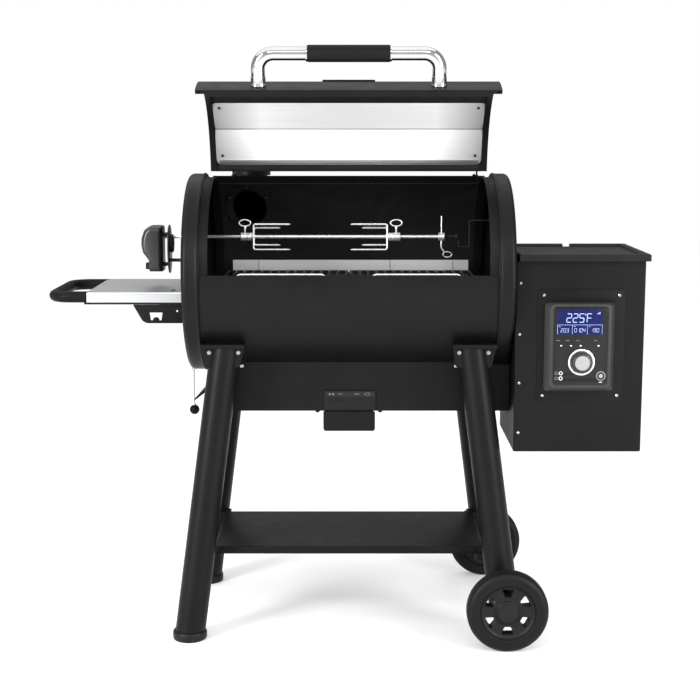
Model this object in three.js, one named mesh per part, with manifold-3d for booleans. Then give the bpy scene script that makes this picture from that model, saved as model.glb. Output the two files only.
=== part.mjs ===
// Pellet smoker grill: a barrel cooking chamber with a hinged lid on a four-leg cart with two
// wheels, a pellet hopper with its controller on the right, a side shelf and a rotisserie motor on
// the left. Millimetres, +Z up, +X towards the hopper, -Y towards the cook. The lid stands open.
// Sizes below are measured from the barrel's middle (X), its axis (Y) and the floor (Z); the last
// lines move the whole grill so that its origin is under the middle of its own box.
import * as THREE from "three";
import { mergeVertices } from "three/addons/utils/BufferGeometryUtils.js";
import Module from "manifold-3d";

// Driving dimensions
const FIT = 0.4; // clearance between two pieces that touch
const SHEET = 2; // sheet-metal wall
const AXIS_Z = 964; // height of the barrel's axis
const SHELL = { inner: 259.4, outer: 262, halfLength: 387.5, frontEdge: 177, rearEdge: 65 };
const CAP = { radius: 268, face: 433, seam: 388, ledge: 364, ledgeOuter: 258.5, wall: 3 };
const LID = { inner: 267.5, outer: 270, halfLength: 386.5, rear: 67, front: 175, frameInner: 260.2 };
const LID_PIVOT = { y: 129.4, z: 1218 };
const LID_OPEN_DEG = 60;
const HINGES = [[-318, -1], [352, 1]]; // each ear's middle, and the side that its arm is on
const HANDLE = { angle: 167, radius: 17.5, standOff: 81, halfSpan: 229, bend: 46, gripHalf: 104.5 };
const LEG = { topX: 325, topY: 194, topZ: 784, footX: 428.3, footY: 244, radius: 40, wall: 2 };
const FOOT_HEIGHT = 24;
const WHEEL = { x: 415, front: -330, rear: 306, radius: 107, halfWidth: 27, axle: 6 };
const BRACKET = { inner: 273, outer: 387.5, lipLow: 786, lipHigh: 796, lipReach: 238 };
const RACK = { halfX: 365, halfY: 179, top: 234, lip: 19.6 };
const HOUSING = { left: -320, right: 432.9, halfY: 123.4, bottom: 598 };
const AUGER = { z: 660, tube: 30, bore: 27.5, flight: 25, shaft: 6, pitch: 76 };
const POT = { radius: 50, bottom: 609.8, top: 716 };
const ASH = { left: -69, right: 71, bottom: 543, front: -128, back: 66 };
const GRATE = { z: 941.6, thick: 7, inner: 3, outer: 352, front: -222, rear: 200, slots: 14, rim: 8 };
const SPIT = { z: 1060, radius: 4.5, left: -512, right: 300 };
const MOTOR = { right: -507, halfY: 42, low: 966, high: 1091 };
const SWITCH = { left: -558, right: -541, low: 971, high: 989 };
const MOUNT_PLATE = { left: -494, right: -490 };
const SIDE = { left: -694, right: -433.4, halfY: 170, top: 926, fascia: 26.7 };
const LOOP = { x: -788, y: 154, z: 912, radius: 15, bend: 55 };
const HOPPER = { left: 433.6, right: 770, front: -233, back: 103, bottom: 510, top: 1014 };
const HOPPER_LID = { left: 440, right: 780, front: -249, back: 108, top: 1033, lip: 18 };
const PANEL = { x: 604.5, z: 794, width: 226, height: 295, thick: 2.3 };
const CONTROL = { back: [509, 690, 674, 907.5], face: [522, 678, 687, 904], depth: 26 };
const SCREEN = { x: 596.5, z: 859.5, width: 118, height: 65, thick: 1.7 };
const KNOB = { x: 602.5, z: 755, radius: 27.5, depth: 22 };
const BUTTON = { x: 654, z: 718.5, radius: 9.5, well: 10.2 };
const JACKS = { x: 550, z: [725.5, 712], radius: 4 };
const STACK = { x: -288, y: 347, inletZ: 1128, duct: 54, pipe: 46, rim: 1217 };
const CHAIN = { x: -431.5, eye: 690, ballZ: 577, ballRadius: 13.5, radius: 2.2 };

// Finishes: colour, roughness, metalness
const FINISH = {
  paint: [0x1c1c1d, 0.55, 0.3],
  stainless: [0xc3c5c7, 0.32, 1],
  chrome: [0xe4e6e8, 0.08, 1],
  iron: [0x1a1918, 0.7, 0.4],
  steel: [0x8d8f92, 0.45, 0.9],
  plastic: [0x161617, 0.5, 0],
  rubber: [0x121212, 0.85, 0],
  screen: [0x0a1145, 0.2, 0],
};

const wasm = await Module();
wasm.setup();
const grill = new THREE.Group();

// ---------- modelling helpers ----------

// A closed geometry as a solid that can be joined and cut.
function solid(geometry) {
  const bare = geometry.index ? geometry.toNonIndexed() : geometry.clone();
  bare.deleteAttribute("normal");
  bare.deleteAttribute("uv");
  const merged = mergeVertices(bare, 1e-3);
  const vertProperties = merged.attributes.position.array;
  const triVerts = new Uint32Array(merged.index.array);
  return new wasm.Manifold(new wasm.Mesh({ numProp: 3, vertProperties, triVerts }));
}

// A named mesh of a solid, in its own material.
function add(parent, name, finish, body) {
  const { numProp, vertProperties, triVerts } = body.getMesh();
  const geometry = new THREE.BufferGeometry();
  geometry.setAttribute("position", new THREE.BufferAttribute(vertProperties, numProp));
  geometry.setIndex(new THREE.BufferAttribute(triVerts, 1));
  const [color, roughness, metalness] = FINISH[finish];
  const material = new THREE.MeshStandardMaterial({ color, roughness, metalness, flatShading: true });
  const mesh = new THREE.Mesh(geometry, material);
  mesh.name = name;
  parent.add(mesh);
  return mesh;
}

function join(...solids) {
  return solids.reduce((whole, next) => whole.add(next));
}

function cut(whole, ...tools) {
  return tools.reduce((left, tool) => left.subtract(tool), whole);
}

function block(x0, x1, y0, y1, z0, z1) {
  const box = new THREE.BoxGeometry(x1 - x0, y1 - y0, z1 - z0);
  return solid(box.translate((x0 + x1) / 2, (y0 + y1) / 2, (z0 + z1) / 2));
}

// A round bar, or a cone, from one point to another.
function bar(from, to, radius, sides = 16, endRadius = radius) {
  const start = new THREE.Vector3(...from);
  const end = new THREE.Vector3(...to);
  const along = end.clone().sub(start);
  const geometry = new THREE.CylinderGeometry(endRadius, radius, along.length(), sides);
  const up = new THREE.Vector3(0, 1, 0);
  geometry.applyQuaternion(new THREE.Quaternion().setFromUnitVectors(up, along.normalize()));
  const middle = start.add(end).multiplyScalar(0.5);
  return solid(geometry.translate(middle.x, middle.y, middle.z));
}

// Turns a shape's plane and depth onto the axis that it is extruded along.
const PLANES = {
  x: new THREE.Matrix4().makeBasis(
    new THREE.Vector3(0, 1, 0), new THREE.Vector3(0, 0, 1), new THREE.Vector3(1, 0, 0)),
  y: new THREE.Matrix4().makeBasis(
    new THREE.Vector3(1, 0, 0), new THREE.Vector3(0, 0, 1), new THREE.Vector3(0, -1, 0)),
  z: new THREE.Matrix4(),
};

// A shape extruded along an axis: drawn in (Y, Z) for x, (X, Z) for y and (X, Y) for z. An arc in
// it gets arcSteps straight pieces (three.js makes two for each of its curve segments).
function prism(axis, shape, from, to, arcSteps = 12) {
  const settings = { depth: to - from, bevelEnabled: false, curveSegments: arcSteps / 2 };
  const geometry = new THREE.ExtrudeGeometry(shape, settings).applyMatrix4(PLANES[axis]);
  const shift = { x: [from, 0, 0], y: [0, to, 0], z: [0, 0, from] }[axis];
  return solid(geometry.translate(...shift));
}

function polygon(points) {
  return new THREE.Shape(points.map(([a, b]) => new THREE.Vector2(a, b)));
}

// A piece of a ring round the barrel's axis, in degrees from the rear (+Y) up through +Z.
function sector(inner, outer, fromDeg, toDeg) {
  const from = THREE.MathUtils.degToRad(fromDeg);
  const to = THREE.MathUtils.degToRad(toDeg);
  const shape = new THREE.Shape();
  shape.absarc(0, AXIS_Z, outer, from, to, false);
  shape.absarc(0, AXIS_Z, inner, to, from, true);
  shape.closePath();
  return shape;
}

// The point at an angle and distance from the barrel's axis.
function polar(radius, deg) {
  const angle = THREE.MathUtils.degToRad(deg);
  return [radius * Math.cos(angle), AXIS_Z + radius * Math.sin(angle)];
}

// A profile of [radius, distance] turned round an axis through the given place.
function turned(axis, profile, place = [0, 0, 0], sides = 36, flip = false) {
  const points = profile.map(([radius, along]) => new THREE.Vector2(radius, along));
  const geometry = new THREE.LatheGeometry(points, sides);
  if (flip) geometry.rotateX(Math.PI);
  if (axis === "x") geometry.rotateZ(-Math.PI / 2);
  if (axis === "z") geometry.rotateX(Math.PI / 2);
  return solid(geometry.translate(...place));
}

// A bent sheet's section: a line of points thickened to one side.
function bentSheet(points, thickness) {
  const line = points.map(([a, b]) => new THREE.Vector2(a, b));
  const normals = line.slice(1).map((point, i) => {
    const step = point.clone().sub(line[i]).normalize();
    return new THREE.Vector2(-step.y, step.x);
  });
  const offset = line.map((point, i) => {
    const before = normals[Math.max(i - 1, 0)];
    const after = normals[Math.min(i, normals.length - 1)];
    const mitre = before.clone().add(after).multiplyScalar(thickness / (1 + before.dot(after)));
    return point.clone().add(mitre);
  });
  return new THREE.Shape([...line].concat(offset.reverse()));
}

// A round tube's centre line: straight runs with rounded corners.
function bentPath(points, bend) {
  const corners = points.map((point) => new THREE.Vector3(...point));
  const path = new THREE.CurvePath();
  let start = corners[0];
  for (let i = 1; i < corners.length - 1; i++) {
    const back = corners[i - 1].clone().sub(corners[i]).setLength(bend).add(corners[i]);
    const on = corners[i + 1].clone().sub(corners[i]).setLength(bend).add(corners[i]);
    path.add(new THREE.LineCurve3(start, back));
    path.add(new THREE.QuadraticBezierCurve3(back, corners[i], on));
    start = on;
  }
  path.add(new THREE.LineCurve3(start, corners[corners.length - 1]));
  return path;
}

function pipe(points, radius, bend, steps, sides = 12) {
  const section = new THREE.Shape().absarc(0, 0, radius, 0, 2 * Math.PI, false);
  const extrudePath = bentPath(points, bend);
  const settings = { steps, extrudePath, bevelEnabled: false, curveSegments: sides / 2 };
  return solid(new THREE.ExtrudeGeometry(section, settings));
}

// A box whose corners place(u, v, w) puts anywhere, with u, v and w each 0 or 1.
function tapered(place) {
  const box = new THREE.BoxGeometry(1, 1, 1);
  const corners = box.attributes.position;
  for (let i = 0; i < corners.count; i++) {
    const unit = [corners.getX(i), corners.getY(i), corners.getZ(i)].map((value) => value + 0.5);
    corners.setXYZ(i, ...place(...unit));
  }
  return solid(box);
}

const mix = (a, b, t) => a + (b - a) * t;

// Everything inside a cylinder on the barrel's axis, to trim what fits round the barrel.
function barrelRound(radius, from = -SHELL.halfLength - FIT, to = SHELL.halfLength + FIT) {
  return bar([from, 0, AXIS_Z], [to, 0, AXIS_Z], radius, 60);
}

// ---------- cooking chamber ----------

function barrelShell() {
  const { inner, outer, halfLength, frontEdge, rearEdge } = SHELL;
  const wall = prism("x", sector(inner, outer, frontEdge, rearEdge + 360), -halfLength, halfLength, 36);
  const flueHole = bar([STACK.x, 100, STACK.inletZ], [STACK.x, 300, STACK.inletZ], STACK.duct - 1, 20);
  const potHole = bar([0, 0, 690], [0, 0, 730], POT.radius + 3, 24);
  const frontLedge = block(-360, 360, -259.6, -215, 938.4, GRATE.z - FIT);
  const rearLedge = block(-360, 360, 186, 259.6, 936, 939);
  return join(
    cut(wall, flueHole, potHole), frontLedge, rearLedge, rearUpstand(), ...hingeEars(), dripHook());
}

// A strip standing along the back of the opening, notched where the lid's arms pass.
function rearUpstand() {
  const notches = HINGES.map(([x, side]) => {
    const middle = x + 7 * side;
    return block(middle - 3.5, middle + 3.5, 100, 120, 1203, 1230);
  });
  return cut(block(-381, 381, 110.5, 112.5, 1200, 1222.4), ...notches);
}

// Fixed ears behind the opening, each with the pin that the lid turns on.
function hingeEars() {
  const { y, z } = LID_PIVOT;
  return HINGES.map(([x, side]) => {
    const ear = prism("x", sector(261, 292, 57, 64.5), x - 3, x + 3, 4);
    return join(ear, bar([x, y, z], [x + 12 * side, y, z], 4, 12));
  });
}

// A tapering rod under the left end that a drip bucket hangs from.
function dripHook() {
  const stem = pipe([[-345, 45, 712], [-355, 45, 672], [-402, 45, 628]], 5, 10, 10, 8);
  return join(stem, bar([-396, 45, 633.6], [-438, 45, 594], 6, 12, 2));
}

// A drum end: flat face, rounded rim, band, and the narrower ledge that the lid shuts on.
function endCap(side) {
  const { radius, face, seam, ledge, ledgeOuter, wall } = CAP;
  const profile = [
    [0, face - wall], [251, face - wall], [262, face - 6], [radius - wall, face - 14],
    [radius - wall, seam + wall], [ledgeOuter - wall, seam + wall], [ledgeOuter - wall, ledge],
    [ledgeOuter, ledge], [ledgeOuter, seam], [radius, seam], [radius, face - 14],
    [radius - 4, face - 4], [radius - 14, face], [0, face],
  ];
  return turned("x", profile, [0, 0, AXIS_Z], 32, side < 0);
}

function endCapLeft() {
  const spitHole = bar([-440, 0, SPIT.z], [-420, 0, SPIT.z], 9, 16);
  const eye = block(CHAIN.x - 2, CHAIN.x + 2, -1.5, 1.5, CHAIN.eye, 707.5);
  return join(cut(endCap(-1), spitHole), eye);
}

function exhaustDuct() {
  const { x, y, inletZ, duct, pipe: pipeRadius } = STACK;
  const wall = 2.5;
  const elbow = (less) => join(
    bar([x, 150 - less, inletZ], [x, y, inletZ], duct - less, 16),
    solid(new THREE.SphereGeometry(duct - less, 16, 8).translate(x, y, inletZ)),
    bar([x, y, inletZ], [x, y, 1262 + less], pipeRadius - less, 16));
  const hollow = cut(elbow(0), elbow(wall), barrelRound(262.5));
  const crossBar = block(x - pipeRadius + 1, x + pipeRadius - 1, y - 5, y + 5, 1240, 1244);
  return join(hollow, cut(crossBar, bar([x, y, 1230], [x, y, 1250], 4.6, 12)));
}

function stackCap() {
  const { x, y, rim } = STACK;
  const profile = [
    [0, 1292], [39, 1290], [52.5, 1278], [52.5, rim], [55, rim], [55, 1280], [40, 1294], [0, 1297],
  ];
  return join(turned("z", profile, [x, y, 0], 24), bar([x, y, 1230], [x, y, 1293], 4, 12));
}

function heatDiffuser() {
  const section = [
    [207, 977], [207, 939.6], [184, 939.6], [170, 852], [0, 800], [-170, 852], [-205, 905],
  ];
  return prism("x", bentSheet(section, -1.6), -336, 346);
}

// A slotted grate with a raised wire handle along its front.
function cookingGrid(side) {
  const { z, thick, inner, outer, front, rear, slots, rim } = GRATE;
  const [x0, x1] = [inner * side, outer * side].sort((a, b) => a - b);
  const pitch = (x1 - x0 - rim) / slots;
  const gaps = Array.from({ length: slots }, (_, i) => {
    const start = x0 + rim + i * pitch;
    return block(start, start + pitch - rim, front + 30, rear - rim, z - 1, z + thick + 1);
  });
  const middle = (x0 + x1) / 2;
  const route = [[-116, z + 4], [-116, 976], [116, 976], [116, z + 4]];
  const handle = route.map(([dx, height]) => [middle + dx, -202, height]);
  return join(cut(block(x0, x1, front, rear, z, z + thick), ...gaps), pipe(handle, 3, 12, 20, 8));
}

// ---------- lid, drawn shut ----------

function lidSkin() {
  const { inner, outer, halfLength, rear, front, frameInner } = LID;
  const skin = prism("x", sector(inner, outer, rear, front), -halfLength, halfLength, 24);
  const sides = [-1, 1].map((side) => {
    const [from, to] = [370 * side, halfLength * side].sort((a, b) => a - b);
    return prism("x", sector(frameInner, outer, rear, front), from, to, 24);
  });
  const frontFlange = join(
    prism("x", sector(252, 269, front - 0.6, front), -361, 361, 2),
    ...[-1, 1].map((side) => {
      const [from, to] = [360 * side, 371 * side].sort((a, b) => a - b);
      return prism("x", sector(frameInner, 269, front - 0.6, front), from, to, 2);
    }));
  const rearFlange = prism("x", sector(frameInner, 269, rear, rear + 0.6), -371, 371, 2);
  const badge = prism("x", sector(269, 274.5, 146, 154), -68, 68, 4);
  return join(skin, ...sides, frontFlange, rearFlange, badge, ...lidArms());
}

// Arms on the skin's back edge that turn on the ears' pins.
function lidArms() {
  const { y, z } = LID_PIVOT;
  return HINGES.map(([x, side]) => {
    const [from, to] = [x + 5 * side, x + 9 * side].sort((a, b) => a - b);
    const strap = prism("x", sector(268.8, 283, 64, 80), from, to, 4);
    const boss = bar([from, y, z], [to, y, z], 9, 16);
    return cut(join(strap, boss), bar([from - 1, y, z], [to + 1, y, z], 4.5, 12));
  });
}

function lidLiner() {
  const radius = 266.4;
  const section = [polar(radius, 71), polar(radius, 94), polar(radius, 115)];
  return prism("x", bentSheet(section, 1.2), -369.4, 369.4);
}

// A point over the lid where the handle stands, at a distance from the barrel's axis.
function overLid(x, radius) {
  const [y, z] = polar(radius, HANDLE.angle);
  return [x, y, z];
}

function lidHandle() {
  const { radius, standOff, halfSpan, bend } = HANDLE;
  const foot = LID.outer + FIT;
  const top = LID.outer + standOff;
  const route = [
    overLid(-halfSpan, foot), overLid(-halfSpan, top), overLid(halfSpan, top), overLid(halfSpan, foot),
  ];
  const shoe = (x) => bar(overLid(x, foot), overLid(x, foot + 22), 20.5, 16, 18.3);
  return join(pipe(route, radius, bend, 26, 12), shoe(-halfSpan), shoe(halfSpan));
}

function lidGrip() {
  const { standOff, gripHalf } = HANDLE;
  const top = LID.outer + standOff;
  const ends = [overLid(-gripHalf, top), overLid(gripHalf, top)];
  const bore = [overLid(-gripHalf - 1, top), overLid(gripHalf + 1, top)];
  return cut(bar(...ends, 21.5, 16), bar(...bore, HANDLE.radius + 1, 12));
}

// ---------- cart ----------

function legPoint(sideX, sideY, z) {
  const t = (LEG.topZ - z) / LEG.topZ;
  return [sideX * mix(LEG.topX, LEG.footX, t), sideY * mix(LEG.topY, LEG.footY, t), z];
}

function legTube(sideX, sideY, radius) {
  return bar(legPoint(sideX, sideY, -40), legPoint(sideX, sideY, LEG.topZ + 70), radius, 14);
}

function leg(sideX, sideY) {
  const { radius, wall } = LEG;
  const end = sideX < 0 ? FOOT_HEIGHT + FIT : 70;
  const above = block(-600, 600, -400, 400, BRACKET.lipLow - FIT, 900);
  const below = block(-600, 600, -400, 400, -80, end);
  const floor = sideX < 0 ? 0 : end + 3;
  const hollow = cut(legTube(sideX, sideY, radius - wall), block(-600, 600, -400, 400, -80, floor));
  const tube = cut(legTube(sideX, sideY, radius), hollow);
  const trimmed = cut(tube, barrelRound(266.5), above, below);
  return sideX < 0 ? trimmed : cut(trimmed, axleRod(WHEEL.axle + 0.6));
}

function axleRod(radius) {
  const { x, front, rear } = WHEEL;
  return bar([x, front - 15, WHEEL.radius], [x, rear + 15, WHEEL.radius], radius, 16);
}

function foot(sideY) {
  const [x, y] = legPoint(-1, sideY, FOOT_HEIGHT / 2);
  return bar([x, y, 0], [x, y, FOOT_HEIGHT], 45.5, 24);
}

// A saddle against the barrel with a lip over the leg's end, a wing down each side of the leg and a
// tab down the feed housing.
function legBracket(sideX, sideY) {
  const [x0, x1] = [BRACKET.inner * sideX, BRACKET.outer * sideX].sort((a, b) => a - b);
  const [from, to] = sideY < 0 ? [220, 241.5] : [298.5, 320];
  const saddle = prism("x", sector(262.6, 266, from, to), x0, x1, 6);
  const [y0, y1] = [200 * sideY, BRACKET.lipReach * sideY].sort((a, b) => a - b);
  const lip = cut(block(x0, x1, y0, y1, BRACKET.lipLow, BRACKET.lipHigh), barrelRound(262.6));
  const [t0, t1] = [BRACKET.inner * sideX, 318 * sideX].sort((a, b) => a - b);
  const [f0, f1] = [123.8 * sideY, 126.8 * sideY].sort((a, b) => a - b);
  const wing = polygon([[x0, 786.5], [x1, 786.5], [x1 - 14, 733], [x0 + 8, 733]]);
  const [w0, w1] = [219 * sideY, 222 * sideY].sort((a, b) => a - b);
  const wings = cut(prism("y", wing, w0, w1), legTube(sideX, sideY, LEG.radius + 0.5));
  return join(saddle, lip, wings, block(t0, t1, f0, f1, 706, 732.3));
}

// The lower rack: a tray turned over, with a tab at each corner that reaches its leg.
function bottomShelf() {
  const { halfX, halfY, top, lip } = RACK;
  const tray = cut(
    block(-halfX, halfX, -halfY, halfY, top - lip, top),
    block(-halfX + SHEET, halfX - SHEET, -halfY + SHEET, halfY - SHEET, top - lip - 1, top - SHEET));
  const corners = [[-1, -1], [-1, 1], [1, -1], [1, 1]];
  const tabs = corners.map(([sideX, sideY]) => {
    const [x0, x1] = [350 * sideX, 394 * sideX].sort((a, b) => a - b);
    const [y0, y1] = [165 * sideY, 212 * sideY].sort((a, b) => a - b);
    return block(x0, x1, y0, y1, top - 6, top - SHEET + 0.5);
  });
  return cut(join(tray, ...tabs), ...corners.map(([x, y]) => legTube(x, y, LEG.radius + 0.5)));
}

function tyre(y) {
  const { x, radius, halfWidth } = WHEEL;
  const profile = [
    [72.5, -24], [92, -halfWidth], [102, -23], [radius, -14], [radius, 14], [102, 23],
    [92, halfWidth], [72.5, 24], [72.5, -24],
  ];
  return turned("y", profile, [x, y, radius], 28);
}

// A disc wheel with six windows and a cap over the axle's end.
function wheelHub(y) {
  const { x, radius, axle } = WHEEL;
  const bore = axle + 0.5;
  const profile = [
    [0, 17], [bore, 17], [bore, -20], [32, -20], [32, -12], [72, -12], [72, 12], [32, 12],
    [32, 22], [0, 22],
  ];
  const disc = turned("y", profile, [x, y, radius], 28, y < 0);
  const windows = Array.from({ length: 6 }, (_, i) => {
    const angle = THREE.MathUtils.degToRad(30 + 60 * i);
    const corners = [[41, -7], [61, -16], [61, 16], [41, 7]];
    const place = ([along, across]) => [
      x + along * Math.cos(angle) - across * Math.sin(angle),
      radius + along * Math.sin(angle) + across * Math.cos(angle),
    ];
    return prism("y", polygon(corners.map(place)), y - 40, y + 40);
  });
  return cut(disc, ...windows);
}

// ---------- feed housing, fire pot and ash box ----------

function augerHousing() {
  const { left, right, halfY, bottom } = HOUSING;
  const box = cut(
    block(left, right, -halfY, halfY, bottom, 760),
    block(left + SHEET, right - SHEET, -halfY + SHEET, halfY - SHEET, bottom + SHEET, 780),
    barrelRound(262.6), barrelRound(268.6, SHELL.halfLength - FIT, 440),
    block(-45, 45, -60, 60, bottom - 5, bottom + 5),
    block(-43, 43, -130, -115, 603.4, 609),
    bar([425, 0, AUGER.z], [440, 0, AUGER.z], AUGER.tube + 2, 24),
    block(425, 440, -50, 50, 612, 622));
  const rails = [-1, 1].flatMap((side) => {
    const [w0, w1] = [65 * side, 67 * side].sort((a, b) => a - b);
    const [l0, l1] = [61.5 * side, 67 * side].sort((a, b) => a - b);
    return [block(w0, w1, -120, 70, 591.8, bottom + 0.5), block(l0, l1, -120, 70, 591.8, 593.8)];
  });
  return join(box, ...rails);
}

function firePot() {
  const { radius, bottom, top } = POT;
  return cut(
    bar([0, 0, bottom], [0, 0, top], radius, 24),
    bar([0, 0, bottom - 1], [0, 0, top + 1], radius - 3, 24),
    bar([30, 0, AUGER.z], [60, 0, AUGER.z], AUGER.bore, 20),
    bar([-60, 0, 630], [-30, 0, 630], 6.5, 12));
}

// A pull-out tray under the housing that hangs in two rails.
function ashBox() {
  const { left, right, bottom, front, back } = ASH;
  const face = block(left, right, front, front + 2, bottom, 597);
  const tray = cut(
    block(-59, 59, front + 1, back, bottom + 2, 595.8),
    block(-57, 57, front + 3, back - 2, bottom + 4, 600));
  const flanges = [-1, 1].map((side) => {
    const [x0, x1] = [58 * side, 64.5 * side].sort((a, b) => a - b);
    return block(x0, x1, front + 1, back, 594.2, 595.8);
  });
  return join(face, tray, ...flanges);
}

// The gate under the fire pot, with the wide folded pull in front.
function cleanoutSlider() {
  const face = block(-67, 72, -127.6, -125, 600.5, 654);
  return join(face, block(-40, 40, -126, 55, 605, 607.5));
}

function augerTube() {
  const pipeWall = cut(
    bar([50.6, 0, AUGER.z], [660, 0, AUGER.z], AUGER.tube, 24),
    bar([40, 0, AUGER.z], [670, 0, AUGER.z], AUGER.bore, 24));
  return cut(pipeWall, block(562, 638, -20, 20, AUGER.z, AUGER.z + 40));
}

// A shaft with one helical flight: a section with one fin, turned a little at each step.
function augerScrew() {
  const { shaft, flight, pitch, z } = AUGER;
  const [from, to] = [56, 667];
  const section = [
    [flight, -7], [flight, 7], [shaft, 40], [shaft, 110], [shaft, 180], [shaft, 250], [shaft, 320],
  ];
  const steps = Math.round(((to - from) / pitch) * 14);
  const points = [];
  const faces = [];
  for (let i = 0; i <= steps; i++) {
    const x = mix(from, to, i / steps);
    const turn = (2 * Math.PI * (x - from)) / pitch;
    for (const [radius, deg] of section) {
      const angle = turn + THREE.MathUtils.degToRad(deg);
      points.push(x, radius * Math.cos(angle), z + radius * Math.sin(angle));
    }
  }
  const count = section.length;
  for (let i = 0; i < steps * count; i++) {
    const next = i % count === count - 1 ? i - count + 1 : i + 1;
    faces.push(i, next + count, i + count, i, next, next + count);
  }
  const last = steps * count;
  for (const [a, b, c] of [[0, 2, 1], [0, 6, 2], [2, 6, 5], [2, 5, 4], [2, 4, 3]]) {
    faces.push(a, b, c, last + a, last + c, last + b);
  }
  const screw = new THREE.BufferGeometry();
  screw.setAttribute("position", new THREE.BufferAttribute(new Float32Array(points), 3));
  screw.setIndex(faces);
  return solid(screw);
}

function fanHousing() {
  const z = 570;
  return cut(
    bar([452, 0, z], [492, 0, z], 46, 24),
    bar([454.5, 0, z], [500, 0, z], 42, 24),
    bar([440, 0, z], [460, 0, z], 18, 16));
}

function fanImpeller() {
  const z = 570;
  const blades = Array.from({ length: 8 }, (_, i) => {
    const angle = (Math.PI / 4) * i;
    const [dy, dz] = [Math.cos(angle), Math.sin(angle)];
    return tapered((u, v, w) => {
      const [along, across] = [mix(7, 37, v), mix(-1, 1, w)];
      return [mix(459, 484, u), along * dy - across * dz, z + along * dz + across * dy];
    });
  });
  return join(bar([457, 0, z], [488, 0, z], 11, 16), ...blades);
}

// ---------- rotisserie ----------

function spitRod() {
  const { z, radius, left, right } = SPIT;
  const collar = bar([246, 0, z], [262, 0, z], 11, 16);
  const prong = bar([254, 0, z + 8], [254, 0, z + 57], 2, 8);
  const screw = pipe([[254, 0, z - 8], [254, 0, z - 30], [263, 0, z - 43]], 2.6, 8, 8, 8);
  const loop = new THREE.Shape().absellipse(271, z - 49, 13.5, 9, 0, 2 * Math.PI, false);
  loop.holes.push(new THREE.Path().absellipse(271, z - 49, 10.5, 6, 0, 2 * Math.PI, true));
  const knob = bar([293, 0, z], [298, 0, z], 6.5, 12);
  const rod = bar([left, 0, z], [right, 0, z], radius, 16);
  return join(rod, collar, prong, screw, knob, prism("y", loop, -1.6, 1.6, 16));
}

// A sliding fork: a hub with a long and a short wire, each bent square into two tines.
function fork(hub, point, longEnd, shortEnd) {
  const { z, radius } = SPIT;
  const root = point > 0 ? hub[1] - 3 : hub[0] + 3;
  const wire = (y, dz, end) =>
    pipe([[end, y, z - dz], [root, y, z - dz], [root, y, z + dz], [end, y, z + dz]], 2.5, 6, 24, 8);
  const screwX = screwPlace(hub, point);
  const body = bar([hub[0], 0, z], [hub[1], 0, z], 11.5, 16);
  return cut(
    join(body, wire(-9, 34.7, longEnd), wire(9, 23.5, shortEnd)),
    bar([hub[0] - 1, 0, z], [hub[1] + 1, 0, z], radius + 0.6, 16),
    bar([screwX, 0, z], [screwX, 0, z + 20], 3.4, 12));
}

// The thumbscrew stands at the end of the hub away from the tines.
function screwPlace(hub, point) {
  return point > 0 ? hub[0] + 11 : hub[1] - 11;
}

// A shank with an oval wire loop to turn it by.
function thumbscrew(x) {
  const { z } = SPIT;
  const shank = bar([x, 0, z + 5.8], [x, 0, z + 29], 2.8, 12);
  const loop = new THREE.Shape().absellipse(x, z + 37.5, 17.5, 10.5, 0, 2 * Math.PI, false);
  loop.holes.push(new THREE.Path().absellipse(x, z + 37.5, 14, 7, 0, 2 * Math.PI, true));
  return join(shank, prism("y", loop, -1.8, 1.8, 20));
}

function spitSupport() {
  const strap = [[299, 1050], [299, 1032], [331, 1032], [331, 1104], [429.4, 1104]];
  return prism("y", bentSheet(strap, 2), -11, 11);
}

function motorHousing() {
  const { right, halfY, low, high } = MOTOR;
  const outline = [
    [right, low], [right, high], [-542, high], [-558, 1080], [-565.5, 1058], [-567, 1040],
    [-563.5, 1019], [-549, 1001], [-546, 995], [-546, low + 2], [-544, low],
  ];
  return cut(
    prism("y", polygon(outline), -halfY, halfY),
    bar([-520, 0, SPIT.z], [-500, 0, SPIT.z], 6, 16),
    block(SWITCH.left - 2, SWITCH.right + 2.5, -10, 10, SWITCH.low - 2, SWITCH.high + 2));
}

function motorSwitch() {
  return block(SWITCH.left, SWITCH.right, -8, 8, SWITCH.low, SWITCH.high);
}

// The oval plate that carries the motor, with its boss, stand-offs and the rod into the end cap.
function motorMount() {
  const { left, right } = MOUNT_PLATE;
  const oval = new THREE.Shape().absellipse(0, 1026.5, 42, 66.5, 0, 2 * Math.PI, false);
  const boss = bar([right - 1, 0, 1042], [right + 9, 0, 1042], 25, 28);
  const spitHole = bar([-500, 0, SPIT.z], [-470, 0, SPIT.z], 6.5, 16);
  const plate = cut(join(prism("x", oval, left, right, 28), boss), spitHole);
  const standOff = (z, y) => bar([MOTOR.right + FIT, y, z], [left + 1, y, z], 6, 12);
  const stay = bar([right - 1, -14, 997], [-CAP.face - FIT, -14, 997], 4.7, 12);
  return join(plate, standOff(1068, -18), standOff(985, 0), stay);
}

// ---------- side shelf ----------

function sideShelfTop() {
  const { left, right, halfY, top, fascia } = SIDE;
  const wall = 1.5;
  return cut(
    block(left, right, -halfY, halfY, top - fascia, top),
    block(left + wall, right - wall, -halfY + wall, halfY - wall, top - fascia - 1, top - wall));
}

// The black frame under the shelf with the towel-bar loop on its outer end.
function sideShelfFrame() {
  const { left, right, halfY, top, fascia } = SIDE;
  const high = top - fascia - FIT;
  const low = high - 5.4;
  const frame = cut(
    block(left + 2, right, -halfY + 1, halfY - 1, low, high),
    block(left + 22, right - 20, -halfY + 21, halfY - 21, low - 1, high + 1));
  const ends = [-1, 1].map((side) => {
    const [y0, y1] = [(halfY - 1) * side, (halfY - 29) * side].sort((a, b) => a - b);
    return block(left - 26, left + 12, y0, y1, low, high);
  });
  const start = left - FIT;
  const { x, y, z, radius, bend } = LOOP;
  const route = [[start, -y, z], [x, -y, z], [x, y, z], [start, y, z]];
  return join(frame, ...ends, pipe(route, radius, bend, 24, 12));
}

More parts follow.
